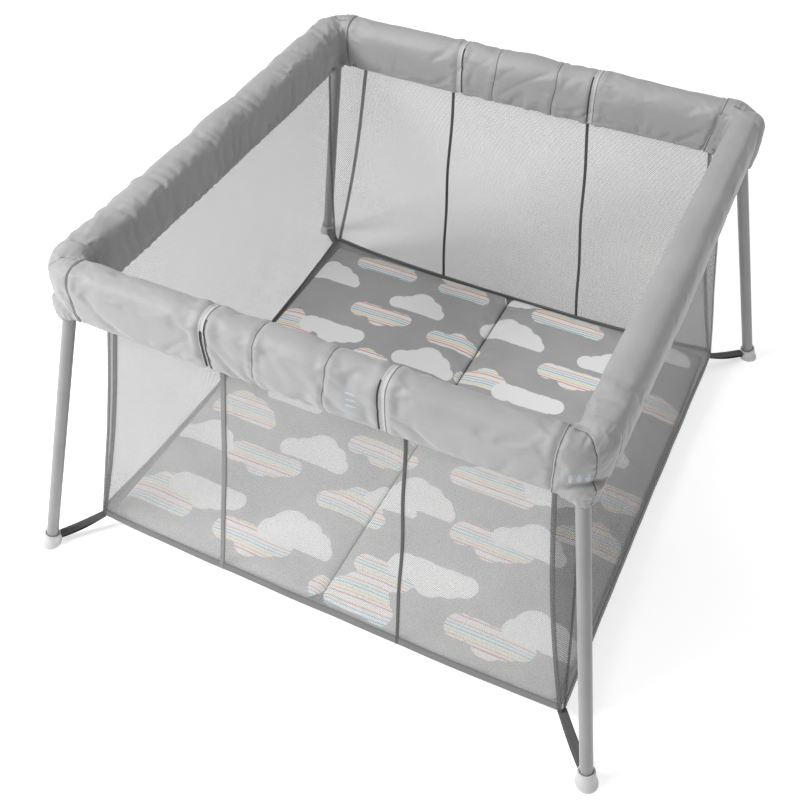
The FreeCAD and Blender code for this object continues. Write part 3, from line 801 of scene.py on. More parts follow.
HALVES = {
    "front_rail": ("left", "right"),
    "back_rail": ("left", "right"),
    "left_rail": ("front", "back"),
    "right_rail": ("front", "back"),
}
COVERS = []
for rail, (O, A, B, L) in RAILS.items():
    settle(rail)
    lo, hi = HALVES[rail]
    wraps = WRAPS[rail] or (-0.10, 0.10)
    end = L - (0.040 if WRAPS[rail] else 0.049)
    g0 = 0.0004 if WRAPS[rail] else 0.0
    parts = [
        ("%s_cover_%s" % (rail, lo), -end, wraps[0] - g0, lo),
        ("%s_cover_middle" % rail, wraps[0] + g0, wraps[1] - g0, None),
        ("%s_cover_%s" % (rail, hi), wraps[1] + g0, end, hi),
    ]
    for nm, s0, s1, which in parts:
        ob = cover_section(nm, rail, s0, s1)
        ob.data.materials.append(MAT["cover"])
        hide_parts("%s_cover" % rail)
        if which is None:
            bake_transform(ob)
        else:
            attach(ob, "%s_%s_half" % (rail, which))
            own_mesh(ob)
        COVERS.append(ob)
    # light wraps that close the middle panel
    for n, w in enumerate(WRAPS[rail]):
        m = 13
        ring = []
        for k in range(m):
            t = (k / (m - 1) - 0.5) * 2
            ring.append((w + t * 0.0055, 0.0012 * (1 - t**4) - 0.0010))
        s = np.array([r[0] for r in ring])
        P, UV = cover_points(rail, s)
        cen = O + np.array([0, 0, -0.024])
        for i, (sv, lift) in enumerate(ring):
            nrm = PNRM[:, 0][:, None] * B + PNRM[:, 1][:, None] * np.array([0, 0, 1.0])
            P[i] = P[i] + nrm * (lift + 0.0022)
        inner = P.copy()
        for i in range(m):
            nrm = PNRM[:, 0][:, None] * B + PNRM[:, 1][:, None] * np.array([0, 0, 1.0])
            inner[i] = P[i] - nrm * 0.0016
        # a closed band: outer face, then inner face back
        loop = np.concatenate([P, inner[::-1]], 0)
        loop = np.concatenate([loop, loop[:1]], 0)
        uvl = np.concatenate([UV, UV[::-1], UV[:1]], 0)[..., ::-1]
        ob = grid("%s_wrap_%d" % (rail, n + 1), loop, uvl, ring=True, flip=np.cross(A, B)[2] > 0)
        bm = bmesh.new()
        bm.from_mesh(ob.data)
        bmesh.ops.remove_doubles(bm, verts=bm.verts, dist=1e-6)
        bm.to_mesh(ob.data)
        bm.free()
        dress(ob, "strap_light", "%s_%s_half" % (rail, (lo, hi)[n]))
        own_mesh(ob)

# dark edge lines beside the wraps, and a dark strip of painted shadow for a slit low on the front left one
def strip(name, rail, place, half, lift, z_from, z_to, mat, body, inner_side=False):
    """A thin strip across a cover's face, between two heights."""
    O, A, B, L = RAILS[rail]
    zs, bs = PROF[:, 1], PROF[:, 0]
    keep = [j for j in range(NPROF) if z_to <= zs[j] <= z_from and (bs[j] < 0 if inner_side else bs[j] > 0)]
    # in order round the profile, without a break
    start = next((i for i in range(len(keep)) if (keep[i] - 1) % NPROF not in keep), 0)
    keep = keep[start:] + keep[:start]
    s = np.array([place - half, place, place + half])
    P, UV = cover_points(rail, s)
    nrm = PNRM[:, 0][:, None] * B + PNRM[:, 1][:, None] * np.array([0, 0, 1.0])
    cen = P[1][keep] + nrm[keep] * lift
    wid = (P[2][keep] - P[0][keep]) / 2
    ob = band_along(name, cen, wid, nrm[keep], 0.0009)
    dress(ob, mat, body)
    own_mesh(ob)
    return ob


for rail, inner_side in (("front_rail", False), ("back_rail", True)):
    for n, w in enumerate(WRAPS[rail]):
        body = "%s_%s_half" % (rail, HALVES[rail][n])
        strip("%s_wrap_%d_line" % (rail, n + 1), rail, w + (0.0066 if n == 0 else -0.0066), 0.0010, 0.0022, 0.028, -0.076, "black", body, inner_side)
# painted shadow: a black strip stands for the slit's shaded opening
strip("front_rail_wrap_1_slit", "front_rail", WRAPS["front_rail"][0] - 0.0010, 0.0016, 0.0040, 0.012, -0.072, "black", "front_rail_left_half")

# --------------------------------------------------------------- corner boots
def rounded_ring(half_lo, half_hi, radii, n=72):
    """Points of a rounded rectangle from (lo, lo) to (hi, hi), going round from the outer corner."""
    lo, hi = half_lo, half_hi
    r_out, r_side, r_in = radii
    arcs = [((lo + r_out, lo + r_out), r_out, 180), ((hi - r_side, lo + r_side), r_side, 270), ((hi - r_in, hi - r_in), r_in, 0), ((lo + r_side, hi - r_side), r_side, 90)]
    pts = []
    for (cx, cy), r, a0 in arcs:
        for k in range(n // 4):
            a = math.radians(a0 + 90 * k / (n // 4 - 1))
            pts.append((cx + r * math.cos(a), cy + r * math.sin(a)))
    return np.array(pts)


def loft(name, rings):
    return grid(name, np.array(rings), None, ring=True, caps=True)


def join(name, parts):
    bm = bmesh.new()
    for ob in parts:
        bm.from_mesh(ob.data)
        me = ob.data
        bpy.data.objects.remove(ob)
        bpy.data.meshes.remove(me)
    me = bpy.data.meshes.new(name)
    bm.to_mesh(me)
    bm.free()
    ob = bpy.data.objects.new(name, me)
    bpy.context.scene.collection.objects.link(ob)
    return ob


def boot(tag, sx, sy):
    k = 60.0 + sx * 3 + sy * 7
    grow = 0.0013
    reach_u, slant = BOOT_U[tag]
    reach_v = BOOT_V[tag]
    R, drawn = ROUND[tag]
    prof = PROF + PNRM * grow
    thin = PROF - PNRM * 0.0034
    # one sleeve that runs in along one rail, round the corner and out along the other
    stations = []
    for t in np.linspace(0, 1, 6):
        stations.append(("u", t))
    for a in np.linspace(6, 84, 14):
        stations.append(("arc", math.radians(a)))
    for t in np.linspace(1, 0, 6):
        stations.append(("v", t))
    rings = []
    for kind, t in stations:
        pts = []
        # the side arm sinks under the rail's cover, the front and back arms lie over it
        sink = float(smooth(0.75, 0.0, t)) if kind == "v" else 0.0
        for bb, zz in prof * (1 - sink) + thin * sink:
            if kind == "u":
                end = max(reach_u - slant * zz, R + 0.002)
                pts.append((end + (R - end) * t, -bb, zz))
            elif kind == "v":
                end = R + 0.016
                pts.append((-bb, end + (R - end) * t, zz))
            else:
                near = math.sin(2 * t) ** 2
                b2 = bb * (1 - 0.02 * near) - drawn * near if bb > 0 else max(bb, -0.034)
                low = float(smooth(-0.030, -0.082, zz)) * near
                b2 = b2 - 0.004 * low if b2 > 0 else b2
                c = (R - R * math.sin(t), R - R * math.cos(t))
                o = (-math.sin(t), -math.cos(t))
                pts.append((c[0] + b2 * o[0], c[1] + b2 * o[1], zz - 0.004 * near * float(smooth(0.0, 0.03, zz))))
        rings.append(pts)
    sleeve = loft(tag + "_sleeve", rings)
    # the solid middle, which fills the inner corner and closes round the leg
    levels = [(0.0215, 0.0220), (0.0205, 0.0140), (0.0170, 0.0070), (0.010, 0.0020), (-0.002, 0.0), (-0.040, 0.0), (-0.060, 0.0010), (-0.072, 0.0040)]
    rings = []
    for z, inset in levels:
        lo, hi = -0.008 + inset, 0.0435 - inset * 0.55
        ring = rounded_ring(lo, hi, (0.012, 0.009, 0.010)) if z > -0.055 else rounded_ring(-0.0300, 0.037, (0.040, 0.014, 0.012))
        rings.append([(x, y, z) for x, y in ring])
    base = rounded_ring(-0.0300, 0.037, (0.040, 0.014, 0.012))
    for z, m, cx, cy, r in ((-0.077, 0.0, 0.0015, 0.0025, 0.0260), (-0.085, 0.25, 0.0008, 0.0018, 0.0262), (-0.091, 0.62, -0.0004, 0.0006, 0.0256), (-0.0970, 1.0, -0.0016, -0.0006, 0.0246)):
        pts = []
        for x, y in base:
            a = math.atan2(y - cy, x - cx)
            pts.append(((1 - m) * x + m * (cx + r * math.cos(a)), (1 - m) * y + m * (cy + r * math.sin(a)), z))
        rings.append(pts)
    core = loft(tag + "_core", rings)
    arms = [sleeve]
    ob = join(tag + "_boot", arms + [core])
    bm = bmesh.new()
    bm.from_mesh(ob.data)
    bmesh.ops.recalc_face_normals(bm, faces=bm.faces)
    bm.to_mesh(ob.data)
    bm.free()
    m = ob.modifiers.new("v", "REMESH")
    m.mode = "VOXEL"
    m.voxel_size = 0.0022
    m = ob.modifiers.new("s", "SMOOTH")
    m.factor = 0.6
    m.iterations = 7
    apply_modifiers(ob)
    me = ob.data
    nv = len(me.vertices)
    co = np.zeros(nv * 3)
    me.vertices.foreach_get("co", co)
    co = co.reshape(-1, 3)
    no = np.zeros(nv * 3)
    me.vertex_normals.foreach_get("vector", no)
    no = no.reshape(-1, 3)
    # settle a coarse copy, then carry its movement over
    crude = ob.copy()
    crude.data = ob.data.copy()
    bpy.context.scene.collection.objects.link(crude)
    rm = crude.modifiers.new("v", "REMESH")
    rm.mode = "VOXEL"
    rm.voxel_size = 0.0058
    apply_modifiers(crude)
    cm = crude.data
    cv = np.zeros(len(cm.vertices) * 3)
    cm.vertices.foreach_get("co", cv)
    cv = cv.reshape(-1, 3)
    hold = np.maximum(smooth(0.034, 0.044, np.maximum(cv[:, 0], cv[:, 1])), smooth(-0.080, -0.090, cv[:, 2]))
    move = simulate(cv, [tuple(q.vertices) for q in cm.polygons], np.where(hold > 0.9, 1.0, 0.3 * hold), 3.0, 0.035, 0.0032, frames=18)
    move = move * (1 - hold)[:, None]
    tree = KDTree(len(cv))
    for i, q in enumerate(cv):
        tree.insert(q, i)
    tree.balance()
    carried = np.zeros_like(co)
    for i, q in enumerate(co):
        near = tree.find_n(q, 5)
        w = np.array([1 / (h[2] ** 2 + 4e-6) for h in near])
        carried[i] = (move[[h[1] for h in near]] * w[:, None]).sum(0) / w.sum()
    co = co + carried
    bpy.data.objects.remove(crude)
    bpy.data.meshes.remove(cm)
    u, v, z = co.T
    d = 0.0008 * fbm(u / 0.06 + k, v / 0.06, z / 0.07, 3)
    outer = smooth(0.012, -0.010, np.minimum(u, v))
    # the side seam: over the top just past the corner, then down the outer side
    line = 0.018 - 0.036 * smooth(0.020, -0.030, u) - 0.004 * np.sin(z / 0.03)
    e = v - line
    e_side = e
    on = smooth(0.044, 0.036, u)
    d = d - 0.0022 * np.exp(-((e / 0.0019) ** 2)) * on
    along = np.where(z > 0.022, u, -z)
    gath = np.exp(-np.abs(e) / 0.014) * smooth(0.0, 0.004, np.abs(e)) * np.where(e < 0, 1.0, 0.45) * on
    d = d + 0.0012 * gath * np.sin(along / 0.0021 + 3.5 * noise3(u / 0.02, z / 0.02, k))
    # slack folds: inner corner, and radiating from the leg's mouth
    inner = smooth(0.012, 0.034, np.minimum(u, v)) * smooth(0.034, 0.0, z)
    ang = np.arctan2(v - 0.03, u - 0.03)
    d = d + inner * 0.0022 * (noise3(ang / 0.22, z / 0.09, k) + 1.2 * crease(ang / 0.35, z / 0.12, k + 2, 0.28))
    mouth = smooth(-0.050, -0.082, z)
    ang2 = np.arctan2(v - 0.005, u - 0.005)
    d = d + mouth * 0.0007 * (np.sin(ang2 * 17 + 3 * noise3(ang2, z / 0.03, k)) * 0.6 + crease(ang2 / 0.30, z / 0.08, k + 4, 0.3))
    # broad drag lines over the front and the top
    d = d + 0.0010 * crease((u + 0.5 * z) / 0.040, (v - z) / 0.07, k + 6, 0.13)
    calm = smooth(R + 0.012, R - 0.004, v)
    d = d * calm
    # turned edge and its stitches on each arm
    for end, coord in ((np.maximum(reach_u - slant * z, R + 0.002), u),):
        far = np.abs(coord - end + 0.0060)
        d = d - 0.0011 * np.exp(-((far / 0.0012) ** 2))
    co = co + no * d[:, None]
    X = sx * (HX - co[:, 0])
    Y = sy * (HY - co[:, 1])
    Z = H + co[:, 2]
    me.vertices.foreach_set("co", np.stack([X, Y, Z], -1).ravel())
    # distances from the side seam and from the arm's end, read by the cloth's colour to paint a shadow along them
    note(ob, "seam_shadow_a", 1 + np.where(u < 0.040, e_side, np.where(e_side < 0, -0.5, 0.5)))
    note(ob, "seam_shadow_b", 1 + (u - (np.maximum(reach_u - slant * z, R + 0.002) - 0.0032)))
    layer = me.uv_layers.new(name="cloth")
    loops = np.zeros(len(me.loops), int)
    me.loops.foreach_get("vertex_index", loops)
    uv = np.stack([u - v, z + 0.4 * np.minimum(u, v)], -1)
    layer.data.foreach_set("uv", uv[loops].ravel())
    bm = bmesh.new()
    bm.from_mesh(me)
    bmesh.ops.recalc_face_normals(bm, faces=bm.faces)
    bm.to_mesh(me)
    bm.free()
    me.shade_smooth()
    dress(ob, "cover", tag + "_corner", [tag + "_corner_boot"])
    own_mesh(ob)
    return ob


BOOTS = {}
for tag, (sx, sy) in CORNERS.items():
    BOOTS[tag] = boot(tag, sx, sy)


def marks(name, host, spots, body):
    """Small printed dots: (x, z, half width, half height) seen from the front, laid on the host's face."""
    tree = BVHTree.FromObject(host, bpy.context.evaluated_depsgraph_get())
    verts, faces, uvs = [], [], []
    for x0, z0, rx, rz in spots:
        base = len(verts)
        rings = [(0, 1)] + [(r / 4, 24) for r in (1, 2, 3, 4)]
        for r, count in rings:
            for i in range(count):
                a = 2 * math.pi * i / count
                x, z = x0 + rx * r * math.cos(a), z0 + rz * r * math.sin(a)
                hit, nrm, _, _ = tree.ray_cast(Vector((x, -2.0, z)), Vector((0, 1, 0)))
                if hit is None:
                    return None
                p = hit - Vector((0, 1, 0)) * (0.0005 if r < 1 else 0.0001)
                verts.append(tuple(p))
                uvs.append((x, z))
        for i in range(24):
            faces.append((base, base + 1 + i, base + 1 + (i + 1) % 24))
        for r in range(3):
            o, q = base + 1 + r * 24, base + 1 + (r + 1) * 24
            for i in range(24):
                faces.append((o + i, q + i, q + (i + 1) % 24, o + (i + 1) % 24))
    ob = make_mesh(name, verts, faces, uvs)
    dress(ob, "mark", body)
    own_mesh(ob)
    return ob


bpy.context.view_layer.update()
for tag, sx in (("front_left", -1), ("front_right", 1)):
    x0 = sx * (HX - (0.004 if sx > 0 else -0.001))
    marks(tag + "_boot_mark", BOOTS[tag], [(x0 + i * (0.0115 if sx > 0 else 0.0075), H - 0.032, 0.0034 if sx > 0 else 0.0022, 0.0115) for i in (-1, 0, 1)], tag + "_corner")


middle = next(ob for ob in COVERS if ob.name == "front_rail_cover_middle")
marks("front_rail_cover_mark", middle, [(0.112, H - 0.010 - 0.0130 * i, 0.0105, 0.0028) for i in range(3)], "front_rail_right_half")

# -------------------------------------------------------------------- walls
WALLS = {
    # name: half of the side, inset along, outward unit, out of plane, along out, body, squash axis, anchor, keep, rail
    "front_wall": dict(o=(0, -1), half=HX, across=HY, fo=FOY, fa=FOX, body="front_left_corner", axis=(1, 0, 0)),
    "back_wall": dict(o=(0, 1), half=HX, across=HY, fo=FOY, fa=FOX, body="back_left_corner", axis=(1, 0, 0)),
    "left_wall": dict(o=(-1, 0), half=HY, across=HX, fo=FOX, fa=FOY, body="front_left_corner", axis=(0, 1, 0)),
    "right_wall": dict(o=(1, 0), half=HY, across=HX, fo=FOX, fa=FOY, body="front_right_corner", axis=(0, 1, 0)),
}


# how far each end of a wall's top edge stands in from the rim's corner
TOP_IN = {"front_wall": (0.104, 0.048), "back_wall": (0.085, 0.070), "left_wall": (0.088, 0.080), "right_wall": (0.066, 0.080)}


def wall_half(w, s, t):
    d = WALLS[w]
    a, b = TOP_IN[w]
    inset = a * (1 - s) / 2 + b * (1 + s) / 2
    bow = 0.010 * np.sin(np.pi * t) * np.abs(s) ** 6
    return (d["half"] + d["fa"] - 0.006) * (1 - t) + (d["half"] - inset) * t - bow


def wall_point(w, s, t):
    """s from -1 to 1 along the wall, t from 0 at the floor to 1 at the cover."""
    d = WALLS[w]
    half = wall_half(w, s, t)
    corner = np.abs(s) ** 3
    z = (WALL_LOW - 0.003 + 0.020 * corner) * (1 - t) + WALL_TOP * t
    hem_in = 0.026 if w in ("left_wall", "right_wall") else 0.006
    out = d["across"] - hem_in * t + d["fo"] * (1 - t)
    # the cloth is drawn in a little between its corners
    belly = 0.010 * np.sin(np.pi * t) * (1 - s**2) + 0.004 * (1 - s**2) * (1 - t) - 0.012 * (1 - s**2) * (1 - t) * 0
    out = out - belly
    along = s * half
    out = out + 0.0012 * fbm(along / 0.12 + 3, z / 0.20, hash_seed(w), 2)
    x = along if d["o"][0] == 0 else d["o"][0] * out
    y = along if d["o"][1] == 0 else d["o"][1] * out
    if d["o"][0] == 0:
        return np.stack([along, d["o"][1] * out, z], -1)
    return np.stack([d["o"][0] * out, along, z], -1)


def hash_seed(w):
    return {"front_wall": 2.0, "back_wall": 9.0, "left_wall": 17.0, "right_wall": 31.0}[w]


def squash_wall(ob):
    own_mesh(ob)


for w, d in WALLS.items():
    ns, nt_ = 90, 56
    S, T = np.meshgrid(np.linspace(-1, 1, ns), np.linspace(0, 1, nt_), indexing="ij")
    P = wall_point(w, S, T)
    UV = np.stack([S * (d["half"] + d["fa"] * (1 - T)), T * 0.62], -1)
    flip = (d["o"][0] - d["o"][1]) < 0
    ob = grid(w + "_mesh", P, UV, flip=flip)
    solidify(ob, 0.0009)
    # the front wall takes the paler knit, painted light for its lit face
    dress(ob, "mesh_open_painted_lit" if w == "front_wall" else "mesh", d["body"], [w])
    low, top = 2 * (d["half"] + d["fa"] - 0.006), 2 * (d["half"] - WALL_IN)
    squash_wall(ob)
    # lower binding, a folded strip of woven cloth
    s = np.linspace(-1, 1, 120)
    cen, wid, nor = [], [], []
    for sv in s:
        p0, p1 = wall_point(w, np.array(sv), np.array(0.0)), wall_point(w, np.array(sv), np.array(0.032))
        cen.append((p0 + p1) / 2)
        wid.append((p1 - p0) / 2)
        nor.append((*d["o"], 0.05))
    ob = band_along(w + "_binding", cen, wid, nor, 0.0034)
    dress(ob, "hem", d["body"])
    squash_wall(ob)

# tapes up the front and back walls
TAPES = [
    ("front_wall", -0.163, -0.232, "tape", 0.0048),
    ("front_wall", 0.188, 0.186, "tape_dark", 0.0030),
    ("back_wall", -0.178, -0.205, "tape_dark", 0.0032),
    ("back_wall", 0.150, 0.185, "tape_dark", 0.0032),
]
for n, (w, s_top, s_low, mat, half_w) in enumerate(TAPES):
    d = WALLS[w]
    t = np.linspace(0.0, 1.0, 70)
    cen, wid, nor = [], [], []
    for tv in t:
        half = float(wall_half(w, 0.4 if s_top > 0 else -0.4, tv))
        x = s_low * (1 - tv) + s_top * tv + 0.0013 * math.sin(tv * 15 + n) * (1 if mat == "tape_dark" else 0.3)
        p = wall_point(w, np.array(x / half), np.array(tv))
        cen.append(p + np.array([0, d["o"][1] * 0.0006, 0]))
        wid.append((half_w, 0, 0))
        nor.append((*d["o"], 0.0))
    ob = band_along("%s_tape_%d" % (w, n % 2 + 1), cen, wid, nor, 0.0030)
    dress(ob, mat, d["body"])
    squash_wall(ob)

# gussets behind the legs, with edge cords
for tag, (sx, sy) in CORNERS.items():
    ns, nt_ = 16, 50
    P = np.zeros((nt_, ns, 3))
    UV = np.zeros((nt_, ns, 2))
    for i in range(nt_):
        t = i / (nt_ - 1)
        wx = wall_point("front_wall" if sy < 0 else "back_wall", np.array(float(sx)), np.array(t))
        wy = wall_point("left_wall" if sx < 0 else "right_wall", np.array(float(sy)), np.array(t))
        for j in range(ns):
            m = j / (ns - 1)
            p = wx * (1 - m) + wy * m
            inward = np.array([-sx, -sy, 0]) * 0.004 * math.sin(math.pi * m) * t
            P[i, j] = p + inward
            UV[i, j] = (m * 0.1 * t, t * 0.62)
    ob = grid(tag + "_gusset", P, UV, flip=(sx * sy < 0))
    solidify(ob, 0.0009)
    dress(ob, "mesh", tag + "_corner")
    for nm, j in (("a", 0), ("b", ns - 1)):
        step = (P[:, ns // 2] - P[:, j]) / np.maximum(np.linalg.norm(P[:, ns // 2] - P[:, j], axis=1), 1e-9)[:, None]
        face = np.array([0, sy, 0.0]) if nm == "a" else np.array([sx, 0, 0.0])
        lane = np.array([sx, 0, 0.0]) if nm == "a" else np.array([0, sy, 0.0])
        ob = band_along("%s_gusset_edge_%s" % (tag, nm), P[:, j] + face * 0.0012, [lane * 0.0042] * nt_, [face] * nt_, 0.0022)
        dress(ob, "mesh_dense", tag + "_corner")

# ------------------------------------------------------- floor and mattress
FLX, FLY = HX + FOX - 0.0065, HY + FOY - 0.005
for side, sg in (("left", -1), ("right", 1)):
    nx, ny = 50, 100
    X, Y = np.meshgrid(np.linspace(0.0004, FLX, nx) * sg, np.linspace(-FLY, FLY, ny), indexing="ij")
    edge = np.maximum(np.abs(X) / FLX, np.abs(Y) / FLY)
    # the edge is sewn to the binding, which climbs towards each corner
    climb = np.minimum((np.abs(X) / FLX) ** 3, (np.abs(Y) / FLY) ** 3)
    Z = 0.0235 + smooth(0.955, 1.0, edge) * (0.013 + 0.021 * climb) + 0.0006 * fbm(X / 0.1, Y / 0.1, 4.0)
    P = np.stack([X, Y, Z], -1)
    ob = grid("floor_cloth_" + side, P, np.stack([X, Y], -1), flip=(sg > 0))
    bm = bmesh.new(); bm.from_mesh(ob.data); bmesh.ops.recalc_face_normals(bm, faces=bm.faces); bm.to_mesh(ob.data); bm.free()
    solidify(ob, 0.0016)
    dress(ob, "floor", "base_" + side, ["floor_sheet_" + side])
    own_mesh(ob)

# cloud shapes: rounds on a flat base, in metres about the cloud's own middle
KINDS = {
    "a": [(-0.055, -0.008, 0.024), (-0.026, 0.012, 0.034), (0.012, 0.006, 0.032), (0.046, -0.006, 0.027), (0.068, -0.016, 0.018)],
    "b": [(-0.060, -0.006, 0.022), (-0.030, 0.002, 0.026), (0.004, 0.016, 0.034), (0.040, 0.004, 0.028), (0.066, -0.012, 0.020)],
    "c": [(-0.062, 0.000, 0.026), (-0.028, -0.004, 0.026), (0.006, 0.010, 0.030), (0.040, 0.000, 0.028), (0.070, -0.006, 0.022)],
}
# x, y, kind, lined, upside down, size
CLOUDS = [
    (-0.475, 0.415, "a", 0, 0, 1.0), (-0.355, 0.505, "b", 1, 0, 1.12), (-0.210, 0.390, "b", 0, 0, 0.98), (-0.285, 0.315, "c", 1, 1, 0.98),
    (-0.375, 0.205, "c", 0, 1, 1.05), (-0.500, 0.190, "b", 1, 0, 1.0), (-0.120, 0.498, "b", 1, 0, 0.92), (-0.150, 0.560, "a", 0, 1, 0.9),
    (-0.065, 0.300, "c", 1, 0, 0.86), (0.062, 0.395, "a", 0, 0, 1.12), (0.175, 0.505, "b", 1, 0, 1.22), (0.250, 0.308, "c", 1, 1, 0.98),
    (0.325, 0.385, "b", 0, 0, 1.0), (0.180, 0.190, "c", 0, 1, 1.05), (0.055, 0.205, "b", 1, 0, 0.9), (-0.105, 0.200, "b", 0, 0, 1.05),
    (-0.225, 0.135, "a", 1, 0, 1.0), (0.420, 0.500, "a", 0, 0, 1.05), (0.455, 0.300, "c", 1, 0, 1.0), (0.040, 0.545, "a", 0, 1, 0.85),
    (-0.470, 0.020, "a", 0, 0, 1.05), (-0.330, 0.060, "c", 1, 1, 1.05), (-0.190, -0.010, "b", 0, 0, 1.05), (-0.060, 0.060, "a", 1, 0, 1.0),
    (0.090, 0.010, "b", 0, 0, 1.1), (0.230, 0.070, "a", 1, 0, 1.05), (0.380, 0.110, "b", 0, 0, 1.05), (0.470, -0.010, "c", 1, 1, 1.0),
    (0.210, -0.095, "b", 1, 0, 1.25), (0.340, -0.060, "a", 0, 1, 0.95), (0.080, -0.205, "a", 0, 0, 1.1), (-0.060, -0.120, "c", 1, 1, 1.0),
    (-0.200, -0.190, "b", 0, 0, 1.1), (-0.300, -0.262, "c", 1, 1, 1.1), (-0.420, -0.140, "a", 1, 0, 1.1), (-0.460, -0.250, "b", 0, 0, 0.95),
    (-0.050, -0.290, "b", 1, 0, 1.05), (0.025, -0.240, "a", 0, 0, 0.8), (0.270, -0.250, "c", 1, 1, 1.1), (0.345, -0.215, "b", 0, 0, 1.05),
    (0.190, -0.385, "c", 0, 1, 1.15), (0.100, -0.420, "b", 1, 1, 0.95), (-0.120, -0.415, "a", 0, 0, 1.15), (-0.205, -0.465, "c", 1, 1, 1.1),
    (-0.365, -0.400, "c", 0, 1, 1.1), (-0.465, -0.450, "b", 1, 0, 1.2), (0.355, -0.470, "c", 1, 1, 1.1), (0.455, -0.420, "a", 0, 0, 1.1),
    (0.060, -0.500, "b", 1, 0, 1.2), (0.460, -0.150, "b", 1, 0, 1.0), (-0.330, -0.050, "a", 0, 0, 0.95), (-0.010, -0.020, "c", 1, 1, 0.9),
]


def cloud_fields(x, y):
    """Signed distances, positive inside, of the plain clouds and the lined ones."""
    plain = np.full(x.shape, -1.0)
    lined = np.full(x.shape, -1.0)
    for cx, cy, kind, is_lined, down, size in CLOUDS:
        u, v = (x - cx) / size, (y - cy) / size
        if down:
            v = -v
        best = np.full(x.shape, -1.0)
        for px, py, r in KINDS[kind]:
            best = np.maximum(best, 1.13 * r - np.hypot(u - px * 0.92, v - py))
        body = np.minimum(0.058 - np.abs(u - 0.004), 0.020 - np.abs(v + 0.008))
        best = np.maximum(best, body)
        best = np.minimum(best, v + 0.030) * size
        if is_lined:
            lined = np.maximum(lined, best)
        else:
            plain = np.maximum(plain, best)
    return plain, lined


def pad_settle(X, y, zt, d):
    """How much the pad's top face rises and puckers, from a solve on a coarser net."""
    i = np.unique(np.concatenate([np.arange(0, X.shape[0], 3), [X.shape[0] - 1]]))
    j = np.unique(np.concatenate([np.arange(0, X.shape[1], 3), [X.shape[1] - 1]]))
    pick = np.ix_(i, j)
    top = np.stack([X[pick], y[pick], zt[pick]], -1)
    low = top.copy()
    low[..., 2] = 0.0262
    n, m = top.shape[:2]
    verts = np.concatenate([top.reshape(-1, 3), low.reshape(-1, 3)], 0)
    faces, o = [], n * m
    for a in range(n - 1):
        for b in range(m - 1):
            q = a * m + b
            faces += [(q, q + m, q + m + 1, q + 1), (o + q, o + q + 1, o + q + m + 1, o + q + m)]
    rim = [a * m for a in range(n)] + [(n - 1) * m + b for b in range(1, m)] + [a * m + m - 1 for a in range(n - 2, -1, -1)] + [b for b in range(m - 2, 0, -1)]
    for a, b in zip(rim, rim[1:] + rim[:1]):
        faces.append((a, b, o + b, o + a))
    hold = np.zeros((n, m))
    hold[d[pick] < 0.004] = 1.0
    pin = np.concatenate([hold.ravel(), np.ones(n * m)])
    move = simulate(verts, faces, pin, 1.2, 0.012, 0.0030, bend=0.8)[: n * m].reshape(n, m, 3)[..., 2]
    at_i = np.interp(np.arange(X.shape[0]), i, np.arange(len(i)))
    at_j = np.interp(np.arange(X.shape[1]), j, np.arange(len(j)))
    up = cubic(move[..., None], at_i)
    up = np.swapaxes(cubic(np.swapaxes(up, 0, 1), at_j), 0, 1)[..., 0]
    return np.clip(up, -0.003, 0.003)


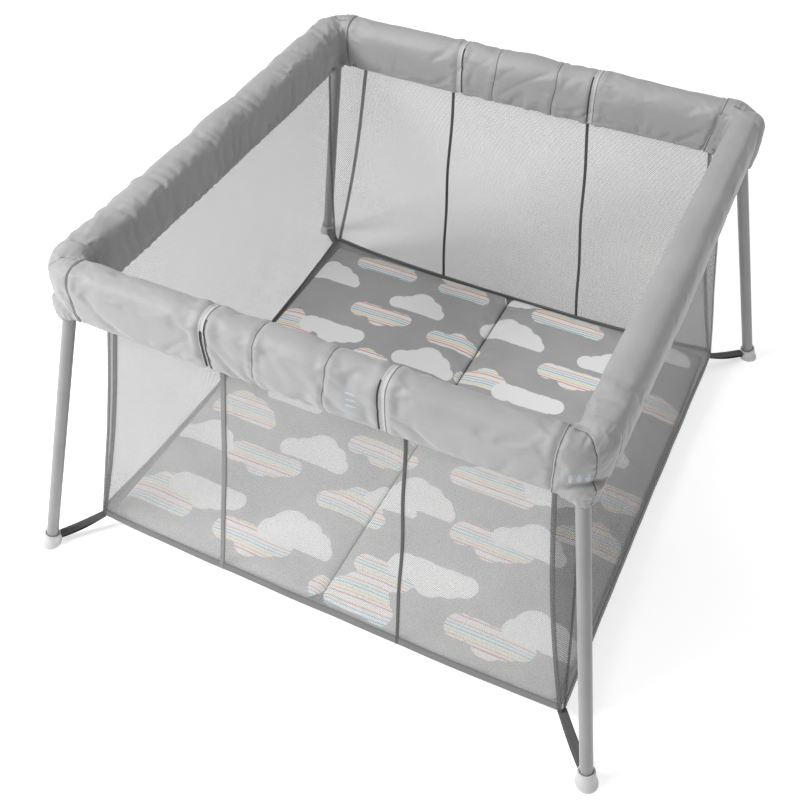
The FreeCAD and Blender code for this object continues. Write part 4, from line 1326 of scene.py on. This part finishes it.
MX, MY = HX + FOX - 0.0120, HY + FOY - 0.010
for side, sg in (("left", -1), ("right", 1)):
    # a crowned pad: plan is a rounded rectangle, thickness falls to a sewn edge
    nx, ny = 124, 250
    u = np.linspace(-1, 1, nx)
    v = np.linspace(-1, 1, ny)
    wide = (MX - 0.0016) / 2
    U, W = np.meshgrid(u, v, indexing="ij")
    rc = 0.034
    x = U * wide
    y = W * MY
    # round the corners by pulling the edge in
    ax, ay = np.clip(np.abs(x) - (wide - rc), 0, None), np.clip(np.abs(y) - (MY - rc), 0, None)
    far = np.hypot(ax, ay)
    k = np.where((far > rc) & (ax > 0) & (ay > 0), rc / np.maximum(far, 1e-9), 1.0)
    x = np.where((ax > 0) & (ay > 0), np.sign(x) * (wide - rc + ax * k), x)
    y = np.where((ax > 0) & (ay > 0), np.sign(y) * (MY - rc + ay * k), y)
    dx, dy = wide - np.abs(x), MY - np.abs(y)
    d = np.minimum(dx, dy)
    rim = 1 - np.exp(-np.clip(d, 0, None) / 0.010)
    X = x + sg * (MX / 2 + 0.0002)
    crown = 0.0125 * np.sqrt(np.clip(1 - (1 - np.clip(d / 0.022, 0, 1)) ** 2, 0, 1))
    soft = 0.0014 * fbm(X / 0.22 + 5, y / 0.22, 2.0, 2) * rim
    inner_edge = np.abs(X) < 0.06
    pinch = 0.0035 * crease(y / 0.055, X / 0.10, 8.0, 0.3) * np.exp(-np.abs(X) / 0.020) * rim
    zt = 0.0262 + 0.0120 + crown + soft + pinch
    zt = zt + pad_settle(X, y, zt, d)
    zb = 0.0262 + 0.0120 - 0.0118 * np.sqrt(np.clip(1 - (1 - np.clip(d / 0.010, 0, 1)) ** 2, 0, 1))
    top = np.stack([X, y, zt], -1).reshape(-1, 3)
    bot = np.stack([X, y, zb], -1).reshape(-1, 3)
    uvt = np.stack([X, y], -1).reshape(-1, 2)
    faces = []
    for i in range(nx - 1):
        for j in range(ny - 1):
            a = i * ny + j
            faces.append((a, a + ny, a + ny + 1, a + 1))
            o = nx * ny
            faces.append((o + a, o + a + 1, o + a + ny + 1, o + a + ny))
    verts = np.concatenate([top, bot], 0)
    ob = make_mesh("mattress_pad_" + side, verts, faces, np.concatenate([uvt, uvt], 0))
    bm = bmesh.new()
    bm.from_mesh(ob.data)
    bmesh.ops.remove_doubles(bm, verts=bm.verts, dist=2e-5)
    bmesh.ops.recalc_face_normals(bm, faces=bm.faces)
    bm.to_mesh(ob.data)
    bm.free()
    ob.data.shade_smooth()
    co = np.zeros(len(ob.data.vertices) * 3)
    ob.data.vertices.foreach_get("co", co)
    co = co.reshape(-1, 3)
    pl, li = cloud_fields(co[:, 0], co[:, 1])
    for nm, val in (("plain_cloud", pl), ("lined_cloud", li)):
        at = ob.data.attributes.new(nm, "FLOAT", "POINT")
        at.data.foreach_set("value", val.astype(np.float32))
    dress(ob, "print", "base_" + side, ["mattress_" + side])
    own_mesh(ob)

# ------------------------------------------------------------ feet and straps
def leg_axis(sx, sy):
    foot = np.array([sx * (HX + SPX), sy * (HY + SPY), 0.0])
    top = np.array([sx * (HX - INSET), sy * (HY - INSET), H])
    w = top - foot
    return foot, w / np.linalg.norm(w)


for tag, (sx, sy) in CORNERS.items():
    foot, way = leg_axis(sx, sy)
    # cap: flat sole, waisted body, rolled collar round the tube
    rings = [(0.0, 0.0212, 0), (0.0006, 0.0222, 0), (0.004, 0.0224, 0), (0.0085, 0.0212, 0.1), (0.012, 0.0192, 0.3), (0.018, 0.0183, 0.6), (0.025, 0.0178, 0.9),
             (0.0305, 0.0176, 1), (0.0325, 0.0172, 1), (0.0335, 0.0158, 1), (0.0335, 0.0138, 1), (0.0320, 0.0129, 1), (0.012, 0.0129, 1)]
    sides = 40
    P = np.zeros((len(rings), sides, 3))
    side1 = np.cross([0, 0, 1.0], way); side1 /= np.linalg.norm(side1)
    side2 = np.cross(way, side1)
    for i, (s, r, tilt) in enumerate(rings):
        for j in range(sides):
            a = 2 * math.pi * j / sides
            flat = foot + np.array([way[0] / way[2], way[1] / way[2], 1.0]) * s + r * np.array([math.cos(a), math.sin(a), 0])
            ca = np.array([math.cos(a), math.sin(a), 0])
            lean = foot + way * (s / way[2]) + r * (ca - way * (ca @ way)) / max(np.linalg.norm(ca - way * (ca @ way)), 1e-9)
            P[i, j] = flat * (1 - tilt) + lean * tilt
    P[..., 2] = np.maximum(P[..., 2], 0.0)
    ob = grid(tag + "_foot", P, None, ring=True, caps=True)
    bm = bmesh.new(); bm.from_mesh(ob.data); bmesh.ops.recalc_face_normals(bm, faces=bm.faces); bm.to_mesh(ob.data); bm.free()
    m = ob.modifiers.new("round", "SUBSURF"); m.levels = 1; m.render_levels = 1
    apply_modifiers(ob)
    ob.data.shade_smooth()
    dress(ob, "foot", tag + "_corner", [tag + "_foot_cap"])
    # webbing from the cap to the floor's corner, in two layers
    b = np.array([sx * (HX + FOX - 0.004), sy * (HY + FOY - 0.004), 0.046])
    a = foot + way * 0.022
    run = b - a
    flat = np.array([run[0], run[1], 0]); flat /= np.linalg.norm(flat)
    a = a + flat * 0.019
    across = np.cross([0, 0, 1.0], flat)
    for nm, dz, hw in (("upper", 0.0025, 0.0095), ("lower", -0.0035, 0.0095)):
        t = np.linspace(0, 1, 26)
        cen = [a * (1 - v) + b * v + np.array([0, 0, dz * (1 - v) - 0.004 * math.sin(math.pi * v) * (1.3 if nm == "lower" else 0.5)]) for v in t]
        ob = band_along("%s_strap_%s" % (tag, nm), cen, [across * hw] * 26, [np.array([0, 0, 1.0])] * 26, 0.0016)
        dress(ob, "webbing" if nm == "upper" else "black", tag + "_corner", [tag + "_foot_strap"] if nm == "upper" else ())

# ------------------------------------------------------------- stage, camera
me = bpy.data.meshes.new("floor")
me.from_pydata([(-14, -14, 0), (14, -14, 0), (14, 14, 0), (-14, 14, 0)], [], [(0, 1, 2, 3)])
floor = bpy.data.objects.new("studio_floor", me)
bpy.context.scene.collection.objects.link(floor)
fm, fnt, fb = new_mat("studio_floor")
fg = G(fnt)
fg.link(fg.ramp(fg.noise(fg.obj(), 0.5, 2.0), [(0.3, (0.90, 0.90, 0.90)), (0.7, (0.92, 0.92, 0.92))]), fb.inputs["Base Color"])
fb.inputs["Roughness"].default_value = 0.9
fb.inputs["Emission Color"].default_value = (1, 1, 1, 1)
fb.inputs["Emission Strength"].default_value = 0.50
fb.inputs["Specular IOR Level"].default_value = 0.0
me.materials.append(fm)
floor.location.z = -0.0002

scene = bpy.context.scene
scene.view_settings.view_transform = "Standard"
world = bpy.data.worlds.new("studio")
scene.world = world
world.use_nodes = True
world.node_tree.nodes["Background"].inputs[0].default_value = (1, 1, 1, 1)
world.node_tree.nodes["Background"].inputs[1].default_value = 0.34


def area(name, place, target, size, power):
    l = bpy.data.lights.new(name, "AREA")
    l.shape = "RECTANGLE"
    l.size, l.size_y = size
    l.energy = power
    o = bpy.data.objects.new(name, l)
    scene.collection.objects.link(o)
    o.location = place
    o.rotation_euler = (Vector(target) - Vector(place)).to_track_quat("-Z", "Y").to_euler()
    return o


area("key", (-2.3, -2.1, 3.0), (0, 0, 0.4), (1.5, 1.5), 150)
area("top", (0.2, 0.3, 3.6), (0, 0, 0.3), (2.4, 2.4), 30)

cam = bpy.data.cameras.new("camera")
cam.sensor_width = 36.0
cam.lens = 1047.195 / 800 * 36.0
cam.shift_x = 15.0915 / 800
cam.shift_y = 0.6386 / 800
co = bpy.data.objects.new("camera", cam)
scene.collection.objects.link(co)
rx, rz, ry = 0.79863, -0.47706, -0.01741
f = np.array([math.sin(rz) * math.cos(rx), math.cos(rz) * math.cos(rx), -math.sin(rx)])
r = np.array([math.cos(rz), -math.sin(rz), 0.0])
up = np.cross(r, f)
r2 = math.cos(ry) * r + math.sin(ry) * up
u2 = -math.sin(ry) * r + math.cos(ry) * up
M = Matrix.Identity(4)
for i in range(3):
    M[i][0], M[i][1], M[i][2] = r2[i], u2[i], -f[i]
M.translation = Vector((0.69272, -1.55684, 1.89358))
co.matrix_world = M
scene.camera = co


def plain(box):
    return [[float(v) for v in p] for p in box]
